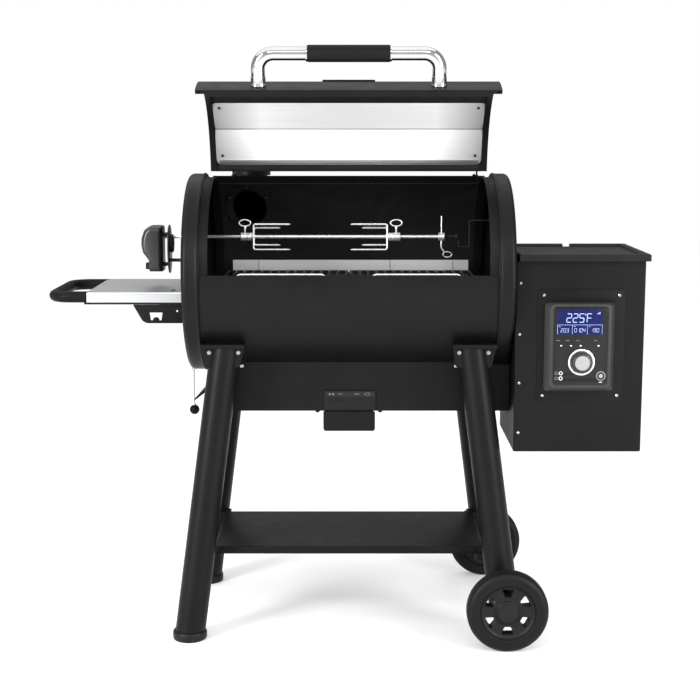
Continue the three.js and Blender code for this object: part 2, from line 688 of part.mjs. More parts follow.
// A sheet bracket with a bottle opener cut in it.
function shelfBracket(sideY) {
  const high = SIDE.top - SIDE.fascia - 6.2;
  const low = 843.5;
  const outline = new THREE.Shape();
  outline.moveTo(-571, high);
  outline.lineTo(-546, 856);
  outline.quadraticCurveTo(-537, low, -522, low);
  outline.lineTo(-433.8, low);
  outline.lineTo(-433.8, high);
  outline.closePath();
  const opener = new THREE.Path();
  opener.moveTo(-527, 872);
  opener.lineTo(-493, 872);
  opener.lineTo(-496, 852);
  opener.absarc(-510, 851, 9, 0, Math.PI, false);
  opener.lineTo(-524, 852);
  opener.closePath();
  const hole = new THREE.Path().absarc(-454, 876, 2.6, 0, 2 * Math.PI, true);
  outline.holes.push(opener, hole);
  const [y0, y1] = [166 * sideY, 169 * sideY].sort((a, b) => a - b);
  return prism("y", outline, y0, y1, 8);
}

// ---------- hopper and controller ----------

function hopperCasing() {
  const { left, right, front, back, bottom, top } = HOPPER;
  return cut(
    block(left, right, front, back, bottom, top),
    block(left + SHEET, right - SHEET, front + SHEET, back - SHEET, bottom + SHEET, top + 10),
    bar([430, 0, AUGER.z], [440, 0, AUGER.z], AUGER.tube + 2, 24),
    block(430, 440, -50, 50, 606, 622));
}

// A funnel from the hopper's mouth to the auger.
function pelletBin() {
  const mouth = { x: [445, 762], y: [-188, 96], z: 1008 };
  const throat = { x: [562, 638], y: [-22, 22], z: 691.5 };
  const funnel = (less) => tapered((u, v, w) => [
    mix(mix(throat.x[0] + less, mouth.x[0] + less, w), mix(throat.x[1] - less, mouth.x[1] - less, w), u),
    mix(mix(throat.y[0] + less, mouth.y[0] + less, w), mix(throat.y[1] - less, mouth.y[1] - less, w), v),
    mix(throat.z - less, mouth.z + less, w),
  ]);
  return cut(funnel(0), funnel(1.6));
}

// A folded lid whose top is sunk inside a raised rim, with a notch at the back.
function hopperLid() {
  const { left, right, front, back, top, lip } = HOPPER_LID;
  const inside = (less, low, high) =>
    block(left + less, right - less, front + less, back - less, low, high);
  return cut(
    block(left, right, front, back, top - lip, top),
    inside(22, top - 7.5, top + 1),
    inside(SHEET, top - lip - 1, top - 10),
    cut(inside(SHEET, top - 11, top - 2.5), inside(19.5, top - 12, top)),
    block(600.5, 621.5, back - 12, back + 2, top - lip - 1, top + 1));
}

function controlPlate() {
  const { x, z, width, height, thick } = PANEL;
  const face = HOPPER.front - FIT;
  return block(x - width / 2, x + width / 2, face - thick, face, z - height / 2, z + height / 2);
}

const CONTROL_BACK = HOPPER.front - PANEL.thick - 2 * FIT;
const CONTROL_FACE = CONTROL_BACK - CONTROL.depth;

function controllerBody() {
  const { back, face } = CONTROL;
  const edge = (i, v) => mix(face[i], back[i], v);
  const wedge = tapered((u, v, w) => [
    mix(edge(0, v), edge(1, v), u),
    mix(CONTROL_FACE, CONTROL_BACK, v),
    mix(edge(2, v), edge(3, v), w),
  ]);
  const well = (place, radius, depth) =>
    bar([place.x, CONTROL_FACE - 1, place.z], [place.x, CONTROL_FACE + depth, place.z], radius, 20);
  const jacks = JACKS.z.map((jackZ) => well({ x: JACKS.x, z: jackZ }, JACKS.radius, 8));
  return cut(wedge, well(BUTTON, BUTTON.well, 6), ...jacks);
}

function lcdScreen() {
  const { x, z, width, height, thick } = SCREEN;
  const back = CONTROL_FACE - FIT;
  return block(x - width / 2, x + width / 2, back - thick, back, z - height / 2, z + height / 2);
}

function controlKnob() {
  const { x, z, radius, depth } = KNOB;
  const profile = [
    [0, 0], [radius, 0], [radius, depth - 5], [radius - 4, depth - 1], [19, depth], [0, depth],
  ];
  return turned("y", profile, [x, CONTROL_FACE - FIT, z], 28, true);
}

function powerButton() {
  const { x, z, radius } = BUTTON;
  return bar([x, CONTROL_FACE - 3, z], [x, CONTROL_FACE + 3.5, z], radius, 20);
}

// ---------- plug on its chain ----------

function plugChain() {
  const { x, eye, ballZ, ballRadius, radius } = CHAIN;
  const ball = new THREE.SphereGeometry(ballRadius, 16, 10).translate(x, 0, ballZ);
  return join(bar([x, 0, ballZ], [x, 0, eye - 1.5], radius, 8), solid(ball));
}

// ---------- assembly ----------

const LEFT_HUB = [-296, -258];
const RIGHT_HUB = [102, 141];

add(grill, "barrel_shell", "paint", barrelShell());
add(grill, "end_cap_left", "paint", endCapLeft());
add(grill, "end_cap_right", "paint", endCap(1));
add(grill, "exhaust_duct", "paint", exhaustDuct());
add(grill, "stack_cap", "paint", stackCap());
add(grill, "heat_diffuser", "stainless", heatDiffuser());
for (const [side, word] of [[-1, "left"], [1, "right"]]) {
  add(grill, `cooking_grid_${word}`, "iron", cookingGrid(side));
}

for (const [sideY, end] of [[-1, "front"], [1, "rear"]]) {
  for (const [sideX, word] of [[-1, "left"], [1, "right"]]) {
    add(grill, `leg_${end}_${word}`, "paint", leg(sideX, sideY));
    add(grill, `leg_bracket_${end}_${word}`, "paint", legBracket(sideX, sideY));
  }
  add(grill, `foot_${end}_left`, "plastic", foot(sideY));
  add(grill, `tyre_${end}`, "rubber", tyre(WHEEL[end]));
  add(grill, `wheel_hub_${end}`, "plastic", wheelHub(WHEEL[end]));
  add(grill, `shelf_bracket_${end}`, "paint", shelfBracket(sideY));
}
add(grill, "wheel_axle", "steel", axleRod(WHEEL.axle));
add(grill, "bottom_shelf", "paint", bottomShelf());

add(grill, "auger_housing", "paint", augerHousing());
add(grill, "fire_pot", "steel", firePot());
add(grill, "igniter_rod", "steel", bar([-130, 0, 630], [-40, 0, 630], 5, 12));
add(grill, "ash_box", "paint", ashBox());
add(grill, "cleanout_slider", "paint", cleanoutSlider());
add(grill, "auger_tube", "steel", augerTube());
add(grill, "auger_screw", "steel", augerScrew());
add(grill, "auger_gearmotor", "steel", block(668, 745, -34, 34, 625, 695));
add(grill, "fan_housing", "plastic", fanHousing());
add(grill, "fan_impeller", "plastic", fanImpeller());

add(grill, "spit_rod", "chrome", spitRod());
add(grill, "fork_left", "chrome", fork(LEFT_HUB, 1, -160, -188));
add(grill, "fork_right", "chrome", fork(RIGHT_HUB, -1, 5, 36));
add(grill, "thumbscrew_left", "chrome", thumbscrew(screwPlace(LEFT_HUB, 1)));
add(grill, "thumbscrew_right", "chrome", thumbscrew(screwPlace(RIGHT_HUB, -1)));
add(grill, "spit_support", "steel", spitSupport());
add(grill, "motor_mount", "plastic", motorMount());
add(grill, "motor_housing", "plastic", motorHousing());
add(grill, "motor_switch", "plastic", motorSwitch());

add(grill, "side_shelf_top", "stainless", sideShelfTop());
add(grill, "side_shelf_frame", "plastic", sideShelfFrame());

add(grill, "hopper_casing", "paint", hopperCasing());
add(grill, "pellet_bin", "steel", pelletBin());
add(grill, "hopper_lid", "paint", hopperLid());
add(grill, "control_plate", "paint", controlPlate());
add(grill, "controller_body", "plastic", controllerBody());
add(grill, "lcd_screen", "screen", lcdScreen());
add(grill, "control_knob", "plastic", controlKnob());
add(grill, "power_button", "plastic", powerButton());
add(grill, "plug_chain", "steel", plugChain());

// The lid's pieces are drawn shut and turned open together about the hinge pins.
const lid = new THREE.Group();
lid.position.set(0, LID_PIVOT.y, LID_PIVOT.z);
lid.rotation.x = -THREE.MathUtils.degToRad(LID_OPEN_DEG);
for (const [name, finish, body] of [
  ["lid_skin", "paint", lidSkin()],
  ["lid_liner", "stainless", lidLiner()],
  ["lid_handle", "chrome", lidHandle()],
  ["lid_grip", "rubber", lidGrip()],
]) {
  add(lid, name, finish, body).position.set(0, -LID_PIVOT.y, -LID_PIVOT.z);
}
grill.add(lid);

const box = new THREE.Box3().setFromObject(grill, true);
const middle = box.getCenter(new THREE.Vector3());
grill.position.set(-middle.x, -middle.y, -box.min.z);

export default grill;
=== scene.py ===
"""The looks of the pellet smoker grill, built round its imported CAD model.

Pieces are drawn in millimetres from the barrel's middle (X), the barrel's axis (Y) and the floor
(Z), then put into the frame's metres. Sizes come from the CAD nodes' own boxes where they have one.
"""
import math

import bmesh
import bpy
from mathutils import Matrix, Vector


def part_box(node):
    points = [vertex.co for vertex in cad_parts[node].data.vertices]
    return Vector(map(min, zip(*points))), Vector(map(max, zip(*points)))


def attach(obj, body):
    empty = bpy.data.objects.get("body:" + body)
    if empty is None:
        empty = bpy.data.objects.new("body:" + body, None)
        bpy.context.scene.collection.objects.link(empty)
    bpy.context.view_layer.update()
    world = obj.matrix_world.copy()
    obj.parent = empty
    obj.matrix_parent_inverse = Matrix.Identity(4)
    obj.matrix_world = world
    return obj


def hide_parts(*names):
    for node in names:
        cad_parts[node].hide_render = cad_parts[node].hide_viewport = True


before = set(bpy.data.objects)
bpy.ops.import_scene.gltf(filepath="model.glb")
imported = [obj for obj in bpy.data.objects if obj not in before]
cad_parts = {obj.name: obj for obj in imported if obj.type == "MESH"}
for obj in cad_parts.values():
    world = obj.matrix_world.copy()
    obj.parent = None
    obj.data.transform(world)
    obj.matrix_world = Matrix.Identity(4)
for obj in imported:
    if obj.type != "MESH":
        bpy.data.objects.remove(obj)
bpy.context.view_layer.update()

MM = 0.001
RACK_LOW, RACK_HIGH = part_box("bottom_shelf")
ORIGIN = Vector(((RACK_LOW.x + RACK_HIGH.x) / 2, (RACK_LOW.y + RACK_HIGH.y) / 2, 0))
TO_FRAME = Matrix.Translation(ORIGIN) @ Matrix.Scale(MM, 4)


def span(node):
    """A CAD node's lowest and highest corner, in the script's own millimetres."""
    low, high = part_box(node)
    return (low - ORIGIN) / MM, (high - ORIGIN) / MM


# Sizes shared by several pieces
CAP_LOW, CAP_HIGH = span("end_cap_right")
AXIS_Z = (CAP_LOW.z + CAP_HIGH.z) / 2
SHELL_INNER, SHELL_OUTER = 259.4, 262
SHELL_FRONT, SHELL_REAR = 177, 65
LID_REAR, LID_FRONT = 67, 175
LID_HALF = 386.5
CHAIN_X = -431.5
SPIT_Z = 1060
WHEEL_X, WHEEL_RADIUS = 415, 107
WHEEL_Y = {"front": -330, "rear": 306}
LEG_TOP = Vector((325, 194, 784))  # where a leg's middle line meets its bracket
LEG_SPREAD = Vector((103.3, 50))  # how far its foot stands outside that, in X and Y
LEG_RADIUS = 40
SIDES = ((-1, "left"), (1, "right"))
ENDS = ((-1, "front"), (1, "rear"))
PIVOT = Vector((0, 129.4, 1218))
HINGES = ((-318, -1), (352, 1))
OPENED = (Matrix.Translation(PIVOT) @ Matrix.Rotation(math.radians(-60), 4, "X")
          @ Matrix.Translation(-PIVOT))


# ---------- camera, light and floor ----------

def set_camera():
    data = bpy.data.cameras.new("camera")
    data.lens = 71.5
    data.sensor_width = 36
    data.clip_end = 60
    camera = bpy.data.objects.new("camera", data)
    camera.location = TO_FRAME @ Vector((3.2, -3817, 1349))
    camera.rotation_euler = (math.radians(81.01), 0, 0)
    bpy.context.scene.collection.objects.link(camera)
    bpy.context.scene.camera = camera


def area_light(name, location, target, size, power):
    data = bpy.data.lights.new(name, "AREA")
    data.shape = "RECTANGLE"
    data.size, data.size_y = size
    data.energy = power
    light = bpy.data.objects.new(name, data)
    light.location = location
    light.rotation_euler = (Vector(target) - Vector(location)).to_track_quat("-Z", "Y").to_euler()
    bpy.context.scene.collection.objects.link(light)


def map_range(nodes, start, end, low, high):
    """A node that carries start..end to low..high."""
    node = nodes.new("ShaderNodeMapRange")
    for key, value in zip(("From Min", "From Max", "To Min", "To Max"), (start, end, low, high)):
        node.inputs[key].default_value = value
    return node


def set_studio():
    bpy.context.scene.view_settings.view_transform = "Standard"
    world = bpy.data.worlds.new("studio")
    world.use_nodes = True
    nodes, links = world.node_tree.nodes, world.node_tree.links
    room = nodes["Background"]
    room.inputs["Color"].default_value = (1, 1, 1, 1)
    compass = nodes.new("ShaderNodeSeparateXYZ")
    links.new(nodes.new("ShaderNodeTexCoord").outputs["Generated"], compass.inputs["Vector"])
    fall = map_range(nodes, -0.6, 0.7, 0.64, 0.30)
    links.new(compass.outputs["Y"], fall.inputs["Value"])
    links.new(fall.outputs["Result"], room.inputs["Strength"])
    backdrop = nodes.new("ShaderNodeBackground")
    backdrop.inputs["Color"].default_value = (1, 1, 1, 1)
    seen = nodes.new("ShaderNodeLightPath").outputs["Is Camera Ray"]
    mix = nodes.new("ShaderNodeMixShader")
    links.new(seen, mix.inputs["Fac"])
    links.new(room.outputs["Background"], mix.inputs[1])
    links.new(backdrop.outputs["Background"], mix.inputs[2])
    links.new(mix.outputs["Shader"], nodes["World Output"].inputs["Surface"])
    bpy.context.scene.world = world
    area_light("key_left", (-3.0, -2.9, 1.9), (0, 0, 0.8), (1.1, 2.6), 200)
    area_light("fill_right", (3.0, -2.7, 1.8), (0, 0, 0.8), (1.1, 2.6), 150)
    area_light("front_high", (0, -4.2, 3.6), (0, 0, 0.9), (3.4, 0.9), 60)
    sky = bpy.data.lights.new("top_soft", "SUN")
    sky.energy = 2.0
    sky.angle = math.radians(95)
    top = bpy.data.objects.new("top_soft", sky)
    top.rotation_euler = (math.radians(-12), math.radians(-10), 0)
    bpy.context.scene.collection.objects.link(top)
    floor_mesh = bpy.data.meshes.new("floor")
    reach = 14
    corners = [(-reach, -reach, 0), (reach, -reach, 0), (reach, reach, 0), (-reach, reach, 0)]
    floor_mesh.from_pydata(corners, [], [(0, 1, 2, 3)])
    floor = bpy.data.objects.new("floor", floor_mesh)
    bpy.context.scene.collection.objects.link(floor)
    floor_mesh.materials.append(floor_finish())


# ---------- materials ----------

class Finish:
    """A node material being built: a principled shader and short ways to add textures."""

    def __init__(self, name):
        self.material = bpy.data.materials.new(name)
        self.material.use_nodes = True
        self.nodes = self.material.node_tree.nodes
        self.links = self.material.node_tree.links
        self.shader = self.nodes["Principled BSDF"]
        self.place = self.nodes.new("ShaderNodeTexCoord").outputs["Object"]

    def set(self, **values):
        for key, value in values.items():
            self.shader.inputs[key.replace("_", " ")].default_value = value
        return self

    def noise(self, scale, detail=3.0, stretch=None, roughness=0.55):
        source = self.place
        if stretch:
            mapping = self.nodes.new("ShaderNodeMapping")
            mapping.inputs["Scale"].default_value = stretch
            self.links.new(source, mapping.inputs["Vector"])
            source = mapping.outputs["Vector"]
        noise = self.nodes.new("ShaderNodeTexNoise")
        noise.inputs["Scale"].default_value = scale
        noise.inputs["Detail"].default_value = detail
        noise.inputs["Roughness"].default_value = roughness
        self.links.new(source, noise.inputs["Vector"])
        return noise.outputs["Fac"]

    def spread(self, factor, low, high, start=0.3, end=0.7):
        ranged = map_range(self.nodes, start, end, low, high)
        self.links.new(factor, ranged.inputs["Value"])
        return ranged.outputs["Result"]

    def rough(self, factor, low, high):
        self.links.new(self.spread(factor, low, high), self.shader.inputs["Roughness"])
        return self

    def tint(self, factor, dark, light):
        ramp = self.nodes.new("ShaderNodeValToRGB")
        ramp.color_ramp.elements[0].position = 0.3
        ramp.color_ramp.elements[1].position = 0.7
        ramp.color_ramp.elements[0].color = (*dark, 1)
        ramp.color_ramp.elements[1].color = (*light, 1)
        self.links.new(factor, ramp.inputs["Fac"])
        self.links.new(ramp.outputs["Color"], self.shader.inputs["Base Color"])
        return self

    def paint_end_shade(self, start, end, least):
        """Painted shade: darkens the base colour towards the piece's left and right ends, along the
        frame's X, standing in for the darker reflections there.
        """
        sides = self.nodes.new("ShaderNodeSeparateXYZ")
        self.links.new(self.place, sides.inputs["Vector"])
        shift = self.nodes.new("ShaderNodeMath")
        shift.operation = "SUBTRACT"
        shift.inputs[1].default_value = ORIGIN.x
        self.links.new(sides.outputs["X"], shift.inputs[0])
        away = self.nodes.new("ShaderNodeMath")
        away.operation = "ABSOLUTE"
        self.links.new(shift.outputs["Value"], away.inputs[0])
        blend = self.nodes.new("ShaderNodeMix")
        blend.data_type = "RGBA"
        blend.blend_type = "MULTIPLY"
        blend.inputs["Factor"].default_value = 1
        self.links.new(self.shader.inputs["Base Color"].links[0].from_socket, blend.inputs[6])
        self.links.new(self.spread(away.outputs["Value"], 1, least, start, end), blend.inputs[7])
        self.links.new(blend.outputs[2], self.shader.inputs["Base Color"])
        return self

    def bump(self, factor, strength, depth):
        bump = self.nodes.new("ShaderNodeBump")
        bump.inputs["Strength"].default_value = strength
        bump.inputs["Distance"].default_value = depth
        self.links.new(factor, bump.inputs["Height"])
        previous = self.shader.inputs["Normal"].links
        if previous:
            self.links.new(previous[0].from_socket, bump.inputs["Normal"])
        self.links.new(bump.outputs["Normal"], self.shader.inputs["Normal"])
        return self


def floor_finish():
    finish = Finish("studio_floor").set(Roughness=0.5, Specular_IOR_Level=0.1)
    finish.set(Emission_Color=(1, 1, 1, 1), Emission_Strength=0.24)
    finish.tint(finish.noise(0.8), (0.73, 0.73, 0.73), (0.75, 0.75, 0.75))
    return finish.material


def powder_coat(name, dark, light, low, high, depth=0.00012, shine=0.22):
    finish = Finish(name).set(Specular_IOR_Level=shine)
    finish.tint(finish.noise(7, 4), (dark,) * 3, (light,) * 3)
    finish.rough(finish.noise(26, 4), low, high)
    finish.bump(finish.noise(700, 2), 0.35, depth)
    return finish.bump(finish.noise(170, 2), 0.25, depth * 1.5).material


def brushed_metal(name, colour, stretch, low, high, metallic=1.0, ends=None):
    finish = Finish(name).set(Metallic=metallic)
    lines = finish.noise(1, 5, stretch, 0.65)
    finish.tint(lines, [c * 0.86 for c in colour], colour)
    finish.rough(lines, low, high)
    # ends: painted shade, a darker base colour towards the piece's left and right ends
    if ends:
        finish.paint_end_shade(*ends)
    return finish.bump(lines, 0.16, 0.00006).material


def chrome_plate(name):
    finish = Finish(name).set(Metallic=1.0)
    finish.tint(finish.noise(12, 2), (0.52, 0.53, 0.54), (0.60, 0.605, 0.61))
    return finish.rough(finish.noise(40, 5), 0.035, 0.09).material


def moulded(name, dark, light, low, high, grain=420, depth=0.00025, strength=0.3, shine=0.35):
    finish = Finish(name).set(Specular_IOR_Level=shine)
    finish.tint(finish.noise(11, 3), (dark,) * 3, (light,) * 3)
    finish.rough(finish.noise(60, 3), low, high)
    return finish.bump(finish.noise(grain, 2), strength, depth).material


def cast_metal(name):
    finish = Finish(name).set(Metallic=0.25)
    finish.tint(finish.noise(30, 5), (0.006, 0.0056, 0.0052), (0.012, 0.011, 0.0105))
    finish.rough(finish.noise(80, 3), 0.45, 0.7)
    return finish.bump(finish.noise(380, 3), 0.5, 0.0004).material


def display_glass(name, colour, glow):
    finish = Finish(name).set(Roughness=0.22, Emission_Strength=glow, Specular_IOR_Level=0.15)
    finish.set(Emission_Color=(*colour, 1))
    finish.tint(finish.noise(60, 1), [c * 0.8 for c in colour], colour)
    return finish.material


MATERIALS = {
    "paint": powder_coat("powder_coat_black", 0.0032, 0.0046, 0.38, 0.46, shine=0.13),
    "paint_soft": powder_coat("powder_coat_satin", 0.005, 0.007, 0.42, 0.52, shine=0.15),
    "soot": powder_coat("chamber_black_heat_worn", 0.004, 0.0075, 0.55, 0.8, 0.0003, 0.2),
    # near-black with almost no shine: painted shade for the chamber's rear upstand, which sits in
    # shadow
    "shade_black": powder_coat("chamber_black_painted_shade", 0.0010, 0.0018, 0.7, 0.85, 0.0002, 0.03),
    "stainless": brushed_metal("stainless_satin", (0.86, 0.865, 0.87), (4, 700, 700), 0.34, 0.46,
                               0.5),
    # the liner's ends carry painted shade: its base colour darkens towards both ends, standing in
    # for darker reflections
    "stainless_liner": brushed_metal("stainless_brushed_liner_end_shade", (0.97, 0.972, 0.975), (3, 500, 500),
                                     0.4, 0.52, 0.35, (0.24, 0.38, 0.25)),
    "stainless_shelf": brushed_metal("stainless_brushed_shelf", (0.62, 0.63, 0.64), (5, 700, 700),
                                     0.30, 0.42),
    "zinc": brushed_metal("zinc_satin", (0.84, 0.85, 0.86), (90, 90, 90), 0.24, 0.36, 0.8),
    "burnt": brushed_metal("steel_heat_darkened", (0.07, 0.062, 0.056), (20, 200, 200), 0.5, 0.66,
                           0.6),
    "steel": brushed_metal("steel_mill", (0.42, 0.42, 0.425), (60, 300, 300), 0.34, 0.5),
    "chrome": chrome_plate("chrome_bright"),
    "dark_steel": powder_coat("steel_blackened", 0.010, 0.018, 0.3, 0.45, 0.0001),
    "resin": moulded("resin_black", 0.0048, 0.007, 0.42, 0.54, shine=0.2),
    "resin_matt": moulded("resin_black_matt", 0.004, 0.006, 0.46, 0.56, shine=0.08),
    "resin_smooth": moulded("resin_black_smooth", 0.009, 0.012, 0.30, 0.36, 600, 0.0001, 0.15, 0.5),
    "grip": moulded("grip_rubber", 0.0032, 0.0048, 0.5, 0.62, 900, 0.0003, 0.4, 0.12),
    "tyre": moulded("tyre_rubber", 0.0032, 0.0048, 0.46, 0.58, 300, 0.0003, 0.35, 0.16),
    "iron": cast_metal("iron_seasoned"),
    "bezel": moulded("controller_bezel_grey", 0.028, 0.034, 0.48, 0.58, 800, 0.0001, 0.2, 0.18),
    "face": moulded("controller_face_black", 0.004, 0.006, 0.25, 0.33, 900, 0.00006, 0.1, 0.3),
    "lcd": display_glass("display_blue", (0.006, 0.008, 0.055), 0.55),
    "digits": display_glass("display_digits", (0.40, 0.50, 0.80), 0.42),
    "marks": moulded("printed_marks_pale", 0.62, 0.70, 0.5, 0.6),
    "grey_marks": moulded("printed_marks_grey", 0.10, 0.14, 0.5, 0.6),
    "knob_face": brushed_metal("knob_face_pale", (0.27, 0.27, 0.27), (300, 300, 300), 0.5, 0.62,
                               0.0),
}


# ---------- shapes: each is (corners, faces) in millimetres ----------

AXES = {
    "x": lambda a, b, along: (along, a, b),
    "y": lambda a, b, along: (a, along, b),
    "z": lambda a, b, along: (a, b, along),
}


def join(*shapes):
    corners, faces = [], []
    for points, polygons in shapes:
        start = len(corners)
        corners += list(points)
        faces += [tuple(i + start for i in polygon) for polygon in polygons]
    return corners, faces


def moved(shape, matrix):
    return [tuple(matrix @ Vector(point)) for point in shape[0]], shape[1]


def rounded(points, radius, steps=6, closed=False):
    """A line with each corner turned into an arc. radius is one number, or one a corner."""
    line = [Vector(point) for point in points]
    count = len(line)
    result = []
    for i, corner in enumerate(line):
        size = radius[i] if isinstance(radius, (list, tuple)) else radius
        if size <= 0 or (not closed and i in (0, count - 1)):
            result.append(corner)
            continue
        back = line[i - 1] - corner
        on = line[(i + 1) % count] - corner
        half = back.angle(on) / 2
        if half > math.radians(89.5):
            result.append(corner)
            continue
        reach = min(size / math.tan(half), back.length * 0.49, on.length * 0.49)
        real = reach * math.tan(half)
        a, b = back.normalized(), on.normalized()
        centre = corner + (a + b).normalized() * (real / math.sin(half))
        start, end = corner + a * reach - centre, corner + b * reach - centre
        sweep = start.angle(end)
        for k in range(steps + 1):
            t = k / steps
            spoke = (start * math.sin((1 - t) * sweep)
                     + end * math.sin(t * sweep)) / math.sin(sweep)
            result.append(centre + spoke)
    return result


def flat(points, radius, steps, closed=True):
    """An outline of pairs with each corner turned into an arc."""
    line = rounded([(a, b, 0) for a, b in points], radius, steps, closed)
    return [(point.x, point.y) for point in line]


def box(x0, x1, y0, y1, z0, z1):
    corners = [(x, y, z) for x in (x0, x1) for y in (y0, y1) for z in (z0, z1)]
    return corners, [(0, 1, 3, 2), (4, 6, 7, 5), (0, 4, 5, 1), (2, 3, 7, 6), (0, 2, 6, 4),
                     (1, 5, 7, 3)]


def prism(axis, outline, low, high):
    """An outline pushed along an axis: drawn in (Y, Z) for x, (X, Z) for y and (X, Y) for z."""
    make = AXES[axis]
    count = len(outline)
    corners = [make(p[0], p[1], low) for p in outline] + [make(p[0], p[1], high) for p in outline]
    sides = [(i, (i + 1) % count, (i + 1) % count + count, i + count) for i in range(count)]
    return corners, sides + [tuple(range(count)), tuple(range(count, 2 * count))]


def lathe(axis, profile, centre, steps=96):
    """A profile of (radius, distance along the axis) turned round an axis through centre."""
    corners, faces, rings = [], [], []
    for radius, along in profile:
        if radius < 1e-6:
            rings.append([len(corners)])
            corners.append((0, 0, along))
            continue
        rings.append(list(range(len(corners), len(corners) + steps)))
        corners += [(radius * math.cos(2 * math.pi * k / steps),
                     radius * math.sin(2 * math.pi * k / steps), along) for k in range(steps)]
    closing = [] if len(rings[0]) == 1 or len(rings[-1]) == 1 else [(rings[-1], rings[0])]
    for low, high in list(zip(rings, rings[1:])) + closing:
        for k in range(steps):
            n = (k + 1) % steps
            if len(low) == 1 and len(high) == 1:
                continue
            if len(low) == 1:
                faces.append((low[0], high[n], high[k]))
            elif len(high) == 1:
                faces.append((low[k], low[n], high[0]))
            else:
                faces.append((low[k], low[n], high[n], high[k]))
    make = AXES[axis]
    moved_corners = [Vector(make(a, b, along)) + Vector(centre) for a, b, along in corners]
    return [tuple(point) for point in moved_corners], faces


def sweep(route, radius, sides=32, caps=True):
    """A tube along a route. radius is a number or a function of the share of the way along."""
    line = [Vector(point) for point in route]
    tangents = [(line[min(i + 1, len(line) - 1)] - line[max(i - 1, 0)]).normalized()
                for i in range(len(line))]
    normal = tangents[0].orthogonal().normalized()
    if abs(tangents[0].z) < 0.9:
        normal = (Vector((0, 0, 1)) - tangents[0] * tangents[0].z).normalized()
    corners, faces = [], []
    for i, point in enumerate(line):
        if i:
            normal = tangents[i - 1].rotation_difference(tangents[i]) @ normal
            normal = (normal - tangents[i] * normal.dot(tangents[i])).normalized()
        across = tangents[i].cross(normal)
        size = radius(i / (len(line) - 1)) if callable(radius) else radius
        for k in range(sides):
            angle = 2 * math.pi * k / sides
            a, b = math.cos(angle), math.sin(angle)
            corners.append(tuple(point + normal * size * a + across * size * b))
    for i in range(len(line) - 1):
        for k in range(sides):
            n = (k + 1) % sides
            faces.append((i * sides + k, i * sides + n, (i + 1) * sides + n, (i + 1) * sides + k))
    if caps:
        faces.append(tuple(range(sides))[::-1])
        faces.append(tuple(range(len(corners) - sides, len(corners))))
    return corners, faces


def polar(radius, deg):
    angle = math.radians(deg)
    return radius * math.cos(angle), AXIS_Z + radius * math.sin(angle)


def arc(radius, start, end, steps=72):
    return [polar(radius, start + (end - start) * k / steps) for k in range(steps + 1)]


def ring_wall(inner, outer, start, end, x0, x1, steps=72):
    """A curved sheet round the barrel's axis, from one angle to another."""
    low, high = arc(inner, start, end, steps), arc(outer, start, end, steps)
    corners = [(x, y, z) for x in (x0, x1) for line in (low, high) for y, z in line]
    n = steps + 1
    faces = []
    for k in range(steps):
        faces += [(k, k + 1, n + k + 1, n + k),
                  (2 * n + k, 3 * n + k, 3 * n + k + 1, 2 * n + k + 1),
                  (k, 2 * n + k, 2 * n + k + 1, k + 1),
                  (n + k, n + k + 1, 3 * n + k + 1, 3 * n + k)]
    faces += [(0, n, 3 * n, 2 * n), (n - 1, 3 * n - 1, 4 * n - 1, 2 * n - 1)]
    return corners, faces


def plate(axis, loops, low, high, edge=0.6):
    """A flat plate with holes and softly rounded edges: the first loop is its outline."""
    curve = bpy.data.curves.new("outline", "CURVE")
    curve.dimensions = "2D"
    curve.fill_mode = "BOTH"
    for loop in loops:
        spline = curve.splines.new("POLY")
        spline.points.add(len(loop) - 1)
        for point, place in zip(spline.points, loop):
            point.co = (place[0], place[1], 0, 1)
        spline.use_cyclic_u = True
    curve.extrude = (high - low) / 2 - edge
    curve.bevel_depth = edge
    curve.bevel_resolution = 2
    curve.offset = -edge
    holder = bpy.data.objects.new("outline", curve)
    mesh = bpy.data.meshes.new_from_object(holder)
    make = AXES[axis]
    middle = (low + high) / 2
    corners = [make(v.co.x, v.co.y, v.co.z + middle) for v in mesh.vertices]
    faces = [tuple(polygon.vertices) for polygon in mesh.polygons]
    bpy.data.objects.remove(holder)
    bpy.data.meshes.remove(mesh)
    return corners, faces


def ellipse(centre, a, b, steps=64):
    return [(centre[0] + a * math.cos(2 * math.pi * k / steps),
             centre[1] + b * math.sin(2 * math.pi * k / steps)) for k in range(steps)]


def wire_ring(centre, a, b, thickness, y=0, steps=64, sides=16):
    """A closed oval of wire that faces the front."""
    spots = ellipse(centre, a, b, steps)
    return sweep([(px, y, pz) for px, pz in spots + spots[:1]], thickness, sides, caps=False)


def thread(root, crest, start, count):
    """A coarse thread's profile, one step of 0.8 after another."""
    return [(crest if k % 2 else root, start + k * 0.8) for k in range(count)]


def ball(x, z, radius, parts, steps):
    profile = [(radius * math.sin(math.pi * k / parts), z + radius * math.cos(math.pi * k / parts))
               for k in range(parts + 1)]
    return lathe("z", profile, (x, 0, 0), steps)


# ---------- pieces ----------

def mesh_of(name, shape, matrix=None):
    mesh = bpy.data.meshes.new(name)
    mesh.from_pydata([tuple(point) for point in shape[0]], [], shape[1])
    work = bmesh.new()
    work.from_mesh(mesh)
    bmesh.ops.remove_doubles(work, verts=work.verts, dist=1e-4)
    bmesh.ops.recalc_face_normals(work, faces=work.faces)
    work.to_mesh(mesh)
    work.free()
    if matrix is not None:
        mesh.transform(matrix)
    mesh.transform(TO_FRAME)
    return mesh


